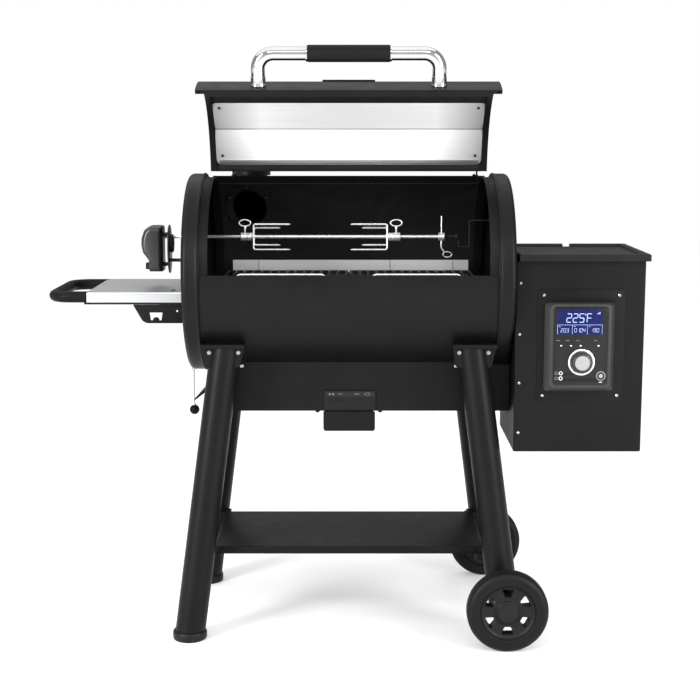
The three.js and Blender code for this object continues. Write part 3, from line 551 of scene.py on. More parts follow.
def piece(name, shape, finish, body="cart", replaces=(), edge=0.0, angle=35, cutters=(),
          matrix=None, inside=None, steps=2):
    """A finished piece: mesh, material, soft edges, the body it rides on, what it replaces."""
    mesh = mesh_of(name, shape, matrix)
    obj = bpy.data.objects.new(name, mesh)
    bpy.context.scene.collection.objects.link(obj)
    if cutters:
        carve(obj, cutters, matrix)
        mesh = obj.data
    mesh.materials.clear()
    mesh.materials.append(MATERIALS[finish])
    if inside:
        mesh.materials.append(MATERIALS["soot"])
        back = TO_FRAME.inverted() if matrix is None else (TO_FRAME @ matrix).inverted()
        for polygon in mesh.polygons:
            polygon.material_index = 1 if inside(back @ polygon.center) else 0
    mesh.polygons.foreach_set("use_smooth", [True] * len(mesh.polygons))
    if edge:
        soften = obj.modifiers.new("edges", "BEVEL")
        soften.width = edge * MM
        soften.segments = steps
        soften.limit_method = "ANGLE"
        soften.angle_limit = math.radians(angle)
        soften.harden_normals = True
    else:
        mesh.set_sharp_from_angle(angle=math.radians(angle))
    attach(obj, body)
    if replaces:
        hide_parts(*replaces)
    return obj


def carve(obj, cutters, matrix=None):
    """Cuts shapes out of an object and keeps the result as its mesh."""
    for shape in cutters:
        tool = bpy.data.objects.new("cutter", mesh_of("cutter", shape, matrix))
        bpy.context.scene.collection.objects.link(tool)
        cut = obj.modifiers.new("cut", "BOOLEAN")
        cut.operation = "DIFFERENCE"
        cut.solver = "EXACT"
        cut.object = tool
        graph = bpy.context.evaluated_depsgraph_get()
        result = bpy.data.meshes.new_from_object(obj.evaluated_get(graph))
        obj.modifiers.clear()
        old = obj.data
        obj.data = result
        bpy.data.meshes.remove(old)
        bpy.data.objects.remove(tool)


def cylinder(start, end, radius, sides=64):
    return sweep([start, end], radius, sides)


def facing(place, direction):
    """Turns a shape drawn on +Z at the origin to stand on place along direction."""
    turn = Vector((0, 0, 1)).rotation_difference(Vector(direction)).to_matrix().to_4x4()
    return Matrix.Translation(Vector(place)) @ turn


def screw_head(radius, height):
    """A domed head with a round socket."""
    profile = [(0, height * 0.45), (radius * 0.40, height * 0.45), (radius * 0.44, height * 0.98),
               (radius * 0.62, height), (radius * 0.86, height * 0.74), (radius, height * 0.22),
               (radius, 0), (0, 0)]
    return lathe("z", profile, (0, 0, 0), 24)


def hex_bolt(radius, height):
    """A six-sided head with its chamfer, on a washer."""
    washer = lathe("z", [(0, 1.4), (radius * 1.32, 1.4), (radius * 1.38, 1.0), (radius * 1.38, 0),
                         (0, 0)], (0, 0, 0), 32)
    head = lathe("z", [(0, height), (radius * 0.82, height), (radius, height * 0.82), (radius, 1.2),
                       (0, 1.2)], (0, 0, 0), 6)
    return join(washer, head)


def heads(name, places, direction, finish="chrome", body="cart", radius=4.0, height=2.6,
          matrix=None, make=screw_head):
    shapes = [moved(make(radius, height), facing(place, direction)) for place in places]
    return piece(name, join(*shapes), finish, body, matrix=matrix, angle=30)


def sheet(axis, points, thickness, low, high, radius=3.0, steps=5):
    """A bent sheet: a line thickened to its left, with rounded bends, pushed along an axis."""
    line = rounded([(a, b, 0) for a, b in points], radius, steps)
    normals = [(on - back).normalized() for back, on in zip(line, line[1:])]
    normals = [Vector((-step.y, step.x, 0)) for step in normals]
    offset = []
    for i, point in enumerate(line):
        before, after = normals[max(i - 1, 0)], normals[min(i, len(normals) - 1)]
        offset.append(point + (before + after) * (thickness / (1 + before.dot(after))))
    return prism(axis, [(p.x, p.y) for p in line + offset[::-1]], low, high)


def outline(x0, x1, z0, z1, radius, steps=8):
    """A rectangle's outline with rounded corners."""
    return flat([(x0, z0), (x1, z0), (x1, z1), (x0, z1)], radius, steps)


def loft(axis, loops, places, caps=True):
    """Outlines with the same number of points joined one after another along an axis."""
    make = AXES[axis]
    count = len(loops[0])
    corners = [make(a, b, place) for loop, place in zip(loops, places) for a, b in loop]
    faces = []
    for level in range(len(loops) - 1):
        for k in range(count):
            n = (k + 1) % count
            faces.append((level * count + k, level * count + n, (level + 1) * count + n,
                          (level + 1) * count + k))
    if caps:
        faces += [tuple(range(count)), tuple(range(len(corners) - count, len(corners)))]
    return corners, faces


def barrel_round(radius, x0=-470, x1=470):
    return cylinder((x0, 0, AXIS_Z), (x1, 0, AXIS_Z), radius, 160)


def saddle_ring(x, z, inner, outer, radius, thickness, steps=64):
    """A flat ring bent to the barrel's inside wall, at the rear."""
    corners, faces = [], []
    for wall in (radius, radius - thickness):
        for reach in (inner, outer):
            for k in range(steps):
                angle = 2 * math.pi * k / steps
                px, pz = x + reach * math.cos(angle), z + reach * math.sin(angle)
                corners.append((px, math.sqrt(wall ** 2 - (pz - AXIS_Z) ** 2), pz))
    for k in range(steps):
        n = (k + 1) % steps
        a, b, c, d = 0, steps, 2 * steps, 3 * steps
        faces += [(a + k, a + n, b + n, b + k), (c + k, c + n, d + n, d + k),
                  (a + k, a + n, c + n, c + k), (b + k, b + n, d + n, d + k)]
    return corners, faces


def pair(a, b, side):
    """Two distances from the middle, put on one side of it in rising order."""
    return tuple(sorted((a * side, b * side)))


# ---------- cooking chamber ----------

FLUE = (-288, 1128)
FLUE_REACH = 347


def make_shell():
    def inward(p):
        return math.hypot(p.y, p.z - AXIS_Z) < 260.4

    flue = cylinder((FLUE[0], 100, FLUE[1]), (FLUE[0], 300, FLUE[1]), 53, 64)
    pot = cylinder((0, 0, 690), (0, 0, 730), 53, 64)
    piece("barrel_wall",
          ring_wall(SHELL_INNER, SHELL_OUTER, SHELL_FRONT, SHELL_REAR + 360, -387.5, 387.5, 200),
          "paint", replaces=["barrel_shell"], cutters=[flue, pot], inside=inward, angle=30)
    for name, half, angle in (("front", 363, SHELL_FRONT), ("rear", 384, SHELL_REAR)):
        hem = [(x, *polar(260.8, angle)) for x in (-half, half)]
        piece(f"barrel_{name}_hem", sweep(hem, 2.1, 16), "paint")
    piece("front_ledge", box(-360, 360, -259.2, -215, 938.4, 941.2), "soot", edge=0.8)
    piece("rear_ledge", box(-360, 360, 186, 259, 936, 939), "soot", edge=0.8)
    piece("flue_flange", saddle_ring(*FLUE, 51.5, 66, 259.2, 1.6), "soot", edge=0.5)
    places, ways = [], []
    for k in range(6):
        angle = math.radians(30 + 60 * k)
        x, z = FLUE[0] + 60 * math.cos(angle), FLUE[1] + 60 * math.sin(angle)
        y = math.sqrt(257.4 ** 2 - (z - AXIS_Z) ** 2)
        places.append((x, y, z))
        ways.append((0, -y, -(z - AXIS_Z)))
    shapes = [moved(screw_head(3.4, 2.4), facing(p, w)) for p, w in zip(places, ways)]
    piece("flue_screws", join(*shapes), "dark_steel")
    hook = rounded([(-345, 45, 712), (-355, 45, 672), (-402, 45, 628), (-438, 45, 594)],
                   [0, 24, 30, 0], 8)
    piece("drip_hook", sweep(hook, lambda t: 6.4 if t < 0.97 else 1.8, 24), "paint")
    strip = outline(-381, 381, 1200, 1222.4, 1.2, 3)
    notches = [box(x + 7 * side - 2.5, x + 7 * side + 2.5, 100, 120, 1203, 1230)
               for x, side in HINGES]
    # the upstand is painted as shade: near-black so it reads as the shadow inside the chamber
    piece("rear_upstand", plate("y", [strip], 110.5, 112.5, 0.5), "shade_black", cutters=notches)


def cap_profile():
    bead = [(268, 396), (268.2, 395), (269.6, 393.4), (270, 391.6), (269.6, 389.8), (268.2, 388.4)]
    rim = flat([(0, 433), (268, 433), (268, 396)], 14, 12, closed=False)
    ledge = flat([(268, 388), (258.5, 388), (258.5, 364), (255.5, 364), (255.5, 391), (265, 391),
                  (265, 430), (0, 430)], [0, 1.6, 1.2, 1.2, 2, 2, 11, 0], 4, closed=False)
    return rim[:-1] + bead + ledge


def make_caps():
    for side, name in SIDES:
        profile = [(radius, side * along) for radius, along in cap_profile()]
        holes = [cylinder((-445, 0, SPIT_Z), (-415, 0, SPIT_Z), 9, 32)] if side < 0 else []
        piece(f"drum_end_{name}", lathe("x", profile, (0, 0, AXIS_Z), 200), "paint",
              replaces=[f"end_cap_{name}"], cutters=holes, angle=32)
    bush = lathe("x", [(9, -430), (9, -435.4), (13, -435.4), (15.5, -434.4), (15.5, -433),
                       (9, -433)], (0, 0, SPIT_Z), 48)
    piece("spit_bushing", bush, "dark_steel", angle=30)
    eye = lathe("y", [(2.0, -1.4), (2.0, 1.4), (5.0, 1.4), (5.4, 0), (5.0, -1.4)],
                (CHAIN_X, 0, 693.4), 32)
    piece("chain_eye", join(eye, box(CHAIN_X - 1.5, CHAIN_X + 1.8, -1.4, 1.4, 697.5, 707.5)),
          "steel")


def make_flue():
    x, y = FLUE[0], FLUE_REACH

    def radius(t):
        """The pipe's outside radius: wide through the barrel's wall, narrow above the bend."""
        return 54 if t < 0.35 else 46 if t > 0.95 else 54 - 8 * (t - 0.35) / 0.60

    def wall(less, start, top):
        route = rounded([(x, start, FLUE[1]), (x, y, FLUE[1]), (x, y, top)], 58, 24)
        return sweep(route, lambda t: radius(t) - less, 80)

    def sooty(p):
        return p.y < 300 and math.hypot(p.x - x, p.z - FLUE[1]) < 53

    piece("flue_elbow", wall(0, 190, 1262), "paint", replaces=["exhaust_duct"],
          cutters=[barrel_round(262.5), wall(2.5, 180, 1272)], angle=30, inside=sooty)
    for name, z in (("flue_band_low", 1206), ("flue_band_high", 1256)):
        piece(name, lathe("z", [(45.4, -3), (47.4, -2), (47.9, 0), (47.4, 2), (45.4, 3)], (x, y, z),
                          80), "paint")
    piece("flue_bridge", box(x - 44, x + 44, y - 5, y + 5, 1240, 1244), "paint", edge=0.8)
    profile = [(0, 1292)] + flat([(36, 1292), (52.5, 1287), (52.5, 1217), (55, 1217), (55, 1290),
                                  (40, 1294.5), (0, 1297)],
                                 [4, 7, 1.1, 1.1, 9, 12, 0], 6, closed=False)
    piece("rain_cap", lathe("z", profile, (x, y, 0), 112), "paint", replaces=["stack_cap"],
          angle=32)
    piece("rain_cap_rod", sweep([(x, y, 1230), (x, y, 1293)], 4, 24), "dark_steel")
    nut = lathe("z", [(0, 1304), (4, 1303.4), (7, 1301), (7, 1296), (0, 1296)], (x, y, 0), 6)
    piece("rain_cap_nut", nut, "dark_steel")


def make_diffuser():
    pan = [(207, 941), (184, 939.6), (170, 852), (0, 800), (-170, 852), (-205, 905)]
    piece("diffuser_pan", sheet("x", pan, 1.6, -336, 346, 4), "burnt", replaces=["heat_diffuser"],
          edge=0.4)
    piece("diffuser_upstand", box(-336, 346, 205.4, 207, 941, 977), "stainless", edge=0.4)
    piece("diffuser_flange", box(-336, 346, 202.6, 205.6, 941, 943.4), "stainless", edge=0.6)
    for number, x in enumerate((-261, 119, 301)):
        piece(f"diffuser_joint_{number + 1}", box(x - 1.2, x + 1.2, 204.6, 205.6, 943.6, 976),
              "steel", edge=0.3)


def make_grates():
    low, high = 941.6, 948.6
    for side, name in SIDES:
        x0, x1 = pair(3, 352, side)
        pitch = (x1 - x0 - 8) / 14
        bars = []
        for i in range(15):
            start = x0 + i * pitch
            section = [(start, high - 1.6), (start + 1.6, high), (start + 6.4, high),
                       (start + 8, high - 1.6), (start + 6.6, low), (start + 1.4, low)]
            bars.append(prism("y", section, -221, 199))
        rails = [box(x0, x1, -222, -192, low + 0.5, high - 0.6),
                 box(x0, x1, 192, 200, low + 0.5, high - 0.6)]
        cross = [box(x0 + 4, x1 - 4, y - 3.5, y + 3.5, low, high - 2.5) for y in (-64, 64)]
        piece(f"grate_{name}", join(*bars, *rails, *cross), "iron",
              replaces=[f"cooking_grid_{name}"], edge=0.9)
        middle = (x0 + x1) / 2
        loop = rounded([(middle - 116, -202, 944), (middle - 116, -202, 976),
                        (middle + 116, -202, 976), (middle + 116, -202, 944)], 12, 8)
        piece(f"grate_loop_{name}", sweep(loop, 3, 24), "zinc")
        feet = [lathe("z", [(0, 3), (4.6, 2.6), (5.4, 0), (0, 0)],
                      (middle + s * 116, -202, high - 0.8), 32) for s in (-1, 1)]
        piece(f"grate_loop_welds_{name}", join(*feet), "dark_steel")


# ---------- lid, drawn shut and turned open ----------

def lid_piece(name, shape, finish, **more):
    """A piece of the lid, drawn shut."""
    return piece(name, shape, finish, "lid", matrix=OPENED, **more)


def facet(start, end):
    """A strip between two angles: its frame, with Z inwards, and its length."""
    a, b = Vector((0, *polar(266.4, start))), Vector((0, *polar(266.4, end)))
    along = (b - a).normalized()
    across = Vector((1, 0, 0))
    up = across.cross(along)
    middle = Vector((0, 0, AXIS_Z))
    if up.dot(middle - a) < 0:
        across = -across
        up = -up
    turn = Matrix((across, along, up)).transposed().to_4x4()
    return Matrix.Translation(a) @ turn, (b - a).length


def make_lid():
    def inward(p):
        return math.hypot(p.y, p.z - AXIS_Z) < 268

    lid_piece("lid_shell", ring_wall(267.5, 270, LID_REAR, LID_FRONT, -LID_HALF, LID_HALF, 150),
              "paint", replaces=["lid_skin"], inside=inward, angle=30)
    for side, name in SIDES:
        x0, x1 = pair(370, 386.2, side)
        lid_piece(f"lid_side_frame_{name}", ring_wall(260.2, 268, LID_REAR, LID_FRONT, x0, x1, 120),
                  "paint", edge=1.2)
    lid_piece("lid_front_flange", ring_wall(252, 269, LID_FRONT - 0.9, LID_FRONT, -361, 361, 3),
              "paint", edge=0.3)
    for side, name in SIDES:
        lip = ring_wall(259.6, 269, LID_FRONT - 0.9, LID_FRONT, *pair(360, LID_HALF - 0.2, side), 3)
        lid_piece(f"lid_front_lip_{name}", lip, "paint", edge=0.3)
    lid_piece("lid_badge", ring_wall(269.5, 274.5, 146, 154, -68, 68, 16), "paint", edge=1.6,
              steps=3)
    lid_piece("lid_rear_flange", ring_wall(260.2, 269, LID_REAR, LID_REAR + 0.7, -371, 371, 3),
              "paint", edge=0.3)
    for name, start, end in (("upper", 115, 94.3), ("lower", 93.7, 71)):
        place, length = facet(start, end)
        radii = [2, 2, 16, 16] if name == "lower" else [8, 8, 2, 2]
        loop = flat([(-369, 0), (369, 0), (369, length), (-369, length)], radii, 8)
        lid_piece(f"liner_{name}", moved(plate("z", [loop], 0, 1.4, 0.4), place), "stainless_liner",
                  replaces=["lid_liner"] if name == "lower" else [], angle=30)
        if name == "lower":
            hem = flat([(-362, length - 15), (362, length - 15), (362, length - 1),
                        (-362, length - 1)], [2, 2, 12, 12], 8)
            lid_piece("liner_hem", moved(plate("z", [hem], 1.2, 2.6, 0.5), place),
                      "stainless_shelf", angle=30)
        row = length * (0.18 if name == "upper" else 0.74)
        places = [place @ Vector((x, row, 1.4)) for x in (-352, 352)]
        way = place.to_3x3() @ Vector((0, 0, 1))
        heads(f"liner_screws_{name}", places, way, "dark_steel", "lid", 4.2, 2.8, OPENED)
    make_hinges()
    make_handle()


def make_hinges():
    for (x, side), name in zip(HINGES, ("left", "right")):
        piece(f"hinge_ear_{name}", ring_wall(261, 292, 57, 64.5, x - 3, x + 3, 12), "paint",
              edge=1.2)
        f0, f1 = sorted((x - 3 * side, x + 14 * side))
        piece(f"hinge_ear_flange_{name}", box(f0, f1, 141, 144, 1178, 1224), "paint", edge=0.8)
        a0, a1 = sorted((x + 5 * side, x + 9 * side))
        lid_piece(f"hinge_arm_{name}", ring_wall(268.8, 283, 64, 80, a0, a1, 20), "paint", edge=0.9)
        boss = lathe("x", [(0, a0), (8, a0), (9, a0 + 1), (9, a1 - 1), (8, a1), (0, a1)],
                     (0, PIVOT.y, PIVOT.z), 40)
        lid_piece(f"hinge_boss_{name}", boss, "paint")
        pin = [(0, -5), (3.4, -5), (4, -4.2), (4, 11.4), (3.4, 12), (0, 12)]
        place = (0, PIVOT.y, PIVOT.z)
        piece(f"hinge_pin_{name}", lathe("x", [(r, x + side * a) for r, a in pin], place, 32),
              "dark_steel")


def over_lid(x, radius):
    return (x, *polar(radius, 167))


def make_handle():
    foot, top = 270.4, 351
    route = rounded([over_lid(-229, foot), over_lid(-229, top), over_lid(229, top),
                     over_lid(229, foot)], 42, 20)
    lid_piece("handle_bar", sweep(route, 17.5, 56), "chrome", replaces=["lid_handle"])
    outward = Vector(over_lid(0, 2)) - Vector(over_lid(0, 1))
    shoe = [(0, 24), (17.6, 24), (18.3, 23.4), (18.6, 18), (19.2, 9), (20.2, 2.4), (20.6, 1.2),
            (20.4, 0), (0, 0)]
    for side, name in SIDES:
        place = facing(over_lid(229 * side, foot), outward)
        lid_piece(f"handle_shoe_{name}", moved(lathe("z", shoe, (0, 0, 0), 72), place), "chrome")
    half, end = 104.5, 17.6
    profile = [(end, -half), (20.2, -half), (21.5, -half + 3), (21.5, half - 3), (20.2, half),
               (end, half)]
    y, z = polar(top, 167)
    lid_piece("handle_grip", lathe("x", profile, (0, y, z), 72), "grip", replaces=["lid_grip"],
              angle=25)
    for side, name in SIDES:
        a0, a1 = pair(104.5, 108, side)
        collar = [(17.4, a0), (20, a0), (20.4, (a0 + a1) / 2), (20, a1), (17.4, a1)]
        lid_piece(f"handle_collar_{name}", lathe("x", collar, (0, y, z), 72), "chrome")


# ---------- legs, wheels and lower rack ----------

def leg_point(side_x, side_y, z):
    """A point on a leg's middle line, at a height."""
    drop = (LEG_TOP.z - z) / LEG_TOP.z
    return Vector((side_x * (LEG_TOP.x + LEG_SPREAD.x * drop),
                   side_y * (LEG_TOP.y + LEG_SPREAD.y * drop), z))


def make_legs():
    for side_x, word in SIDES:
        for side_y, end in ENDS:
            low = 24.4 if side_x < 0 else 70
            tube = cylinder(leg_point(side_x, side_y, -60), leg_point(side_x, side_y, 850),
                            LEG_RADIUS, 112)
            cutters = [barrel_round(266.5, -500, 500), box(-600, 600, -400, 400, 785.6, 1000),
                       box(-600, 600, -400, 400, -200, low)]
            if side_x > 0:
                cutters.append(cylinder((WHEEL_X, -340, WHEEL_RADIUS), (WHEEL_X, 340, WHEEL_RADIUS),
                                        6.8, 32))
            piece(f"leg_tube_{end}_{word}", tube, "paint", replaces=[f"leg_{end}_{word}"],
                  cutters=cutters, edge=1.0)
            if side_x > 0:
                x, y, _ = leg_point(side_x, side_y, low)
                plug = [(0, low - 3), (36, low - 3), (40, low - 2.2), (41, low - 0.8),
                        (41, low + 1.2), (0, low + 1.2)]
                piece(f"leg_plug_{end}", lathe("z", plug, (x, y, 0), 80), "resin")
            else:
                x, y, _ = leg_point(side_x, side_y, 12)
                profile = [(0, 0), (41, 0), (43.6, 1.4), (45.2, 5), (45.5, 9), (45.5, 18),
                           (44.6, 21.6), (42.6, 24), (0, 24)]
                piece(f"foot_pad_{end}", lathe("z", profile, (x, y, 0), 96), "resin",
                      replaces=[f"foot_{end}_left"])
            make_bracket(side_x, side_y, word, end)


def make_bracket(side_x, side_y, word, end):
    x0, x1 = pair(273, 387.5, side_x)
    start, stop = (220, 241.5) if side_y < 0 else (298.5, 320)
    y0, y1 = pair(200, 238, side_y)
    saddle = ring_wall(262.4, 266, start, stop, x0, x1, 24)
    piece(f"bracket_saddle_{end}_{word}", saddle, "paint", replaces=[f"leg_bracket_{end}_{word}"],
          edge=0.9)
    piece(f"bracket_lip_{end}_{word}", box(x0, x1, y0, y1, 786, 796), "paint",
          cutters=[barrel_round(262.6)], edge=2.0, steps=3)
    t0, t1 = pair(273, 318, side_x)
    f0, f1 = pair(123.8, 126.8, side_y)
    piece(f"bracket_tab_{end}_{word}", box(t0, t1, f0, f1, 706, 732.3), "paint", edge=0.8)
    heads(f"bracket_bolt_{end}_{word}", [(side_x * 288, side_y * 126.6, 722)], (0, side_y, 0),
          radius=5.4, height=3.6)
    w0, w1 = pair(219, 222, side_y)
    wing = [(x0, 786.5), (x1, 786.5), (x1 - 14, 733), (x0 + 8, 733)]
    wing = flat(wing, [0, 0, 8, 8], 5)
    leg = cylinder(leg_point(side_x, side_y, 600), leg_point(side_x, side_y, 850), LEG_RADIUS + 0.5,
                   96)
    piece(f"bracket_wings_{end}_{word}", prism("y", wing, w0, w1), "paint", cutters=[leg], edge=0.7)
    spots = [(side_x * x, side_y * 222, 773) for x in (289.5, 366)]
    heads(f"bracket_top_bolts_{end}_{word}", spots, (0, side_y, 0), "steel", radius=3.9, height=3.6,
          make=hex_bolt)


def make_rack():
    top, lip, wall = 234, 19.6, 2
    half_x, half_y = 365, 179
    cutters = [cylinder(leg_point(x, y, 100), leg_point(x, y, 400), LEG_RADIUS + 0.6, 96)
               for x in (-1, 1) for y in (-1, 1)]
    outer = outline(-half_x, half_x, -half_y, half_y, 6)
    inner = outline(-half_x + 1.4, half_x - 1.4, -half_y + 1.4, half_y - 1.4, 5)
    mid = outline(-half_x + 4, half_x - 4, -half_y + 4, half_y - 4, 4)
    under = outline(-half_x + wall, half_x - wall, -half_y + wall, half_y - wall, 4)
    shell = loft("z", [under, under, outer, outer, inner, mid],
                 [top - wall, top - lip, top - lip, top - 3.6, top - 1.2, top])
    piece("rack_tray", shell, "paint", replaces=["bottom_shelf"], cutters=cutters, angle=40)
    tabs = []
    for x in (-1, 1):
        for y in (-1, 1):
            a, b = pair(350, 394, x)
            c, d = pair(165, 212, y)
            tabs.append(box(a, b, c, d, top - 6, top - 1.6))
    piece("rack_tabs", join(*tabs), "paint", cutters=cutters, edge=0.8)


def make_wheels():
    for side_y, end in ENDS:
        body = f"wheel_{end}"
        place = (WHEEL_X, WHEEL_Y[end], WHEEL_RADIUS)
        bead = [(72.5, -22), (73.4, -24.4), (75, -25.4), (78, -25.2), (84, -25.6), (90, -26.6),
                (92.4, -27),
                (94.6, -26.6), (97, -25.4), (100.6, -23.6), (104, -20.4), (106.2, -16), (107, -11)]
        tread = []
        for k in (-7, 0, 7):
            tread += [(WHEEL_RADIUS, k - 1.6), (105.4, k - 1.1), (105.4, k + 1.1),
                      (WHEEL_RADIUS, k + 1.6)]
        profile = bead + tread + [(radius, -along) for radius, along in reversed(bead)]
        piece(f"tyre_round_{end}", lathe("y", profile, place, 192), "tyre", body,
              replaces=[f"tyre_{end}"], angle=50)
        face = -1 if side_y < 0 else 1
        disc = [(0, 19), (6.6, 19), (6.6, -21), (69, -20), (73.5, -22), (73.5, 22), (71.4, 19),
                (68, 15), (63, 13),
                (34, 14), (32.4, 15), (31.6, 20), (28, 23.6), (20, 25.8), (10, 26.8), (0, 27)]
        hub = lathe("y", [(r, face * a) for r, a in disc], place, 160)
        windows = []
        for i in range(6):
            angle = math.radians(30 + 60 * i)
            ring = rounded([(40, -8, 0), (61.5, -17.5, 0), (61.5, 17.5, 0), (40, 8, 0)], 3.5, 5,
                           closed=True)
            spots = [(place[0] + p.x * math.cos(angle) - p.y * math.sin(angle),
                      place[2] + p.x * math.sin(angle) + p.y * math.cos(angle)) for p in ring]
            windows.append(prism("y", spots, place[1] - 40, place[1] + 40))
        piece(f"wheel_disc_{end}", hub, "resin", body, replaces=[f"wheel_hub_{end}"],
              cutters=windows, angle=28)
        groove = [(26, face * 24.4), (26.8, face * 25.6), (28.2, face * 25.0), (28, face * 23.6)]
        piece(f"wheel_cap_ring_{end}", lathe("y", groove, place, 96), "resin", body)
    axle_front, axle_rear = WHEEL_Y["front"] - 15, WHEEL_Y["rear"] + 15
    axle = cylinder((WHEEL_X, axle_front, WHEEL_RADIUS), (WHEEL_X, axle_rear, WHEEL_RADIUS), 6, 48)
    piece("axle_rod", axle, "steel", replaces=["wheel_axle"], edge=0.6)
    sleeve = [(6.2, -279), (12, -279), (12.6, -279.8), (12, -281), (9.4, -281.4), (9.4, -305),
              (12, -305.4), (12, -307), (6.2, -307)]
    piece("axle_spacer", lathe("y", sleeve, (WHEEL_X, 0, WHEEL_RADIUS), 48), "resin", angle=30)


# ---------- feed housing, ash box --------------------

def make_housing():
    cutters = [box(-318, 430.9, -121.4, 121.4, 600, 800), barrel_round(262.6, -400, 387.1),
               barrel_round(268.6, 387, 470),
               box(-45, 45, -60, 60, 590, 604), cylinder((425, 0, 660), (440, 0, 660), 32, 48)]
    body = box(-320, 432.9, -123.4, 123.4, 598, 760)
    piece("feed_housing", body, "paint", replaces=["auger_housing"], cutters=cutters, edge=2.2,
          steps=3)
    rails = []
    for side in (-1, 1):
        w0, w1 = pair(65, 67, side)
        l0, l1 = pair(61.5, 67, side)
        rails += [box(w0, w1, -120, 70, 591.8, 598.4), box(l0, l1, -120, 70, 591.8, 593.8)]
    piece("ash_rails", join(*rails), "paint", edge=0.5)
    spots = [(x, -112, 598) for x in (-85, 85)] + [(x, 112, 598) for x in (-85, 85)]
    heads("housing_bumps", spots, (0, 0, -1), "paint", radius=6.4, height=6)
    ends = [(-320, y, z) for y in (-105, 105) for z in (616, 700)]
    heads("housing_end_screws", ends, (-1, 0, 0), radius=4.2, height=2.8)


def make_ash_box():
    left, right, low, front = -69, 71, 543, -128
    shape = [(left, 597), (left, low + 5), (left + 4, low), (right - 4, low), (right, low + 5),
             (right, 597)]
    loop = flat(shape, 1.6, 5)
    piece("ash_face", plate("y", [loop], front - 0.2, front + 2, 0.7), "paint", "ash_box",
          replaces=["ash_box"])
    inner = box(-57, 57, front + 3, 64, low + 4, 620)
    piece("ash_tray", box(-59, 59, front + 1, 66, low + 2, 595.8), "paint", "ash_box",
          cutters=[inner], edge=1.4)
    flanges = [box(*pair(58, 64.5, side), front + 1, 66, 594.2, 595.8) for side in (-1, 1)]
    piece("ash_flanges", join(*flanges), "paint", "ash_box", edge=0.4)
    make_cleanout()


def make_cleanout():
    body = "cleanout_slider"
    loop = outline(-67, 72, 600.5, 654, 3)
    slots = [outline(x - 6, x + 6, 627, 630.4, 1.6, 4) for x in (-30, 30)]
    piece("cleanout_plate", plate("y", [loop] + slots, -127.8, -125.4, 0.6), "paint_soft", body,
          replaces=["cleanout_slider"])
    piece("cleanout_back", box(-60, 60, -125.6, -124.9, 602, 634), "soot", body, edge=0.2)
    piece("cleanout_band", box(-64, 69, -128.5, -127.4, 637.5, 652.5), "face", body, edge=0.3)
    # a flat dark strip across the plate: painted shade of a crease line
    piece("cleanout_crease_shade", box(-60, 65, -128.2, -127.5, 614.2, 615.4), "face", body, edge=0.2)
    wings = [prism("y", [(-47, 645), (-47 + 7 * way, 648.6), (-47 + 7 * way, 641.4)], -128.9,
                   -128.3) for way in (-1, 1)]
    oval = wire_ring((50, 645), 7, 3.6, 0.6, -128.6, 32, 8)
    dashes = [box(-30, -17, -128.9, -128.3, 644.4, 645.8),
              box(15, 28, -128.9, -128.3, 644.4, 645.8)]
    piece("cleanout_signs", join(*wings, *dashes, oval), "grey_marks", body)
    piece("cleanout_blade", box(-40, 40, -126, 55, 605, 607.5), "steel", body, edge=0.5)


# ---------- rotisserie ----------

def make_spit():
    rod = [(0, -512), (3.6, -511.5), (4.5, -509), (4.5, 262), (0, 262)]
    piece("spit_bar", lathe("x", rod, (0, 0, SPIT_Z), 32), "zinc", "spit", replaces=["spit_rod"])
    threads = [(0, 261)] + thread(3.7, 4.4, 261.6, 47) + [(2.4, 300), (0, 300)]
    piece("spit_thread", lathe("x", threads, (0, 0, SPIT_Z), 32), "dark_steel", "spit")
    knob = [(4, 293), (6, 293), (6.6, 293.8), (6.6, 297.2), (6, 298), (4, 298)]
    piece("spit_end_knob", lathe("x", knob, (0, 0, SPIT_Z), 32), "dark_steel", "spit")
    collar = [(4.4, 246), (10.4, 246), (11, 246.8), (11, 261.2), (10.4, 262), (4.4, 262)]
    piece("spit_collar", lathe("x", collar, (0, 0, SPIT_Z), 48), "zinc", "spit")
    prong = sweep([(254, 0, SPIT_Z + 8), (254, 0, SPIT_Z + 54), (254, 0, SPIT_Z + 57)],
                  lambda t: 2 if t < 0.9 else 1.0, 20)
    piece("spit_collar_prong", prong, "zinc", "spit")
    bend = rounded([(254, 0, SPIT_Z - 8), (254, 0, SPIT_Z - 30), (263, 0, SPIT_Z - 43)], 12, 8)
    piece("spit_collar_screw", sweep(bend, 2.6, 24), "zinc", "spit")
    piece("spit_collar_loop", wire_ring((271, SPIT_Z - 49), 12, 7.5, 1.5), "zinc", "spit")


def make_fork(name, hub, point, long_end, short_end):
    x0, x1 = hub
    root = x1 - 3 if point > 0 else x0 + 3
    ribs = [(4.8, x0), (10.6, x0), (11.5, x0 + 0.9)]
    start, stop = (x0 + 18, x1 - 8) if point > 0 else (x0 + 8, x1 - 18)
    count = int((stop - start) / 1.6)
    ribs += [(11.5 if k % 2 else 10.4, start + k * 1.6) for k in range(count)]
    ribs += [(11.5, stop + 0.8), (11.5, x1 - 0.9), (10.6, x1), (4.8, x1)]
    piece(f"{name}_hub", lathe("x", ribs, (0, 0, SPIT_Z), 48), "zinc", name, replaces=[name])
    for word, y, reach, end in (("long", -9, 34.7, long_end), ("short", 9, 23.5, short_end)):
        near = end - 7 * point
        low, high = SPIT_Z - reach, SPIT_Z + reach
        route = rounded([(near, y, low), (root, y, low), (root, y, high), (near, y, high)], 5.5, 8)
        piece(f"{name}_wire_{word}", sweep(route, 2.5, 20), "zinc", name)
        tips = [sweep([(near, y, z), (end, y, z)], lambda t: 2.5 - 1.8 * t, 20)
                for z in (low, high)]
        piece(f"{name}_tips_{word}", join(*tips), "zinc", name)


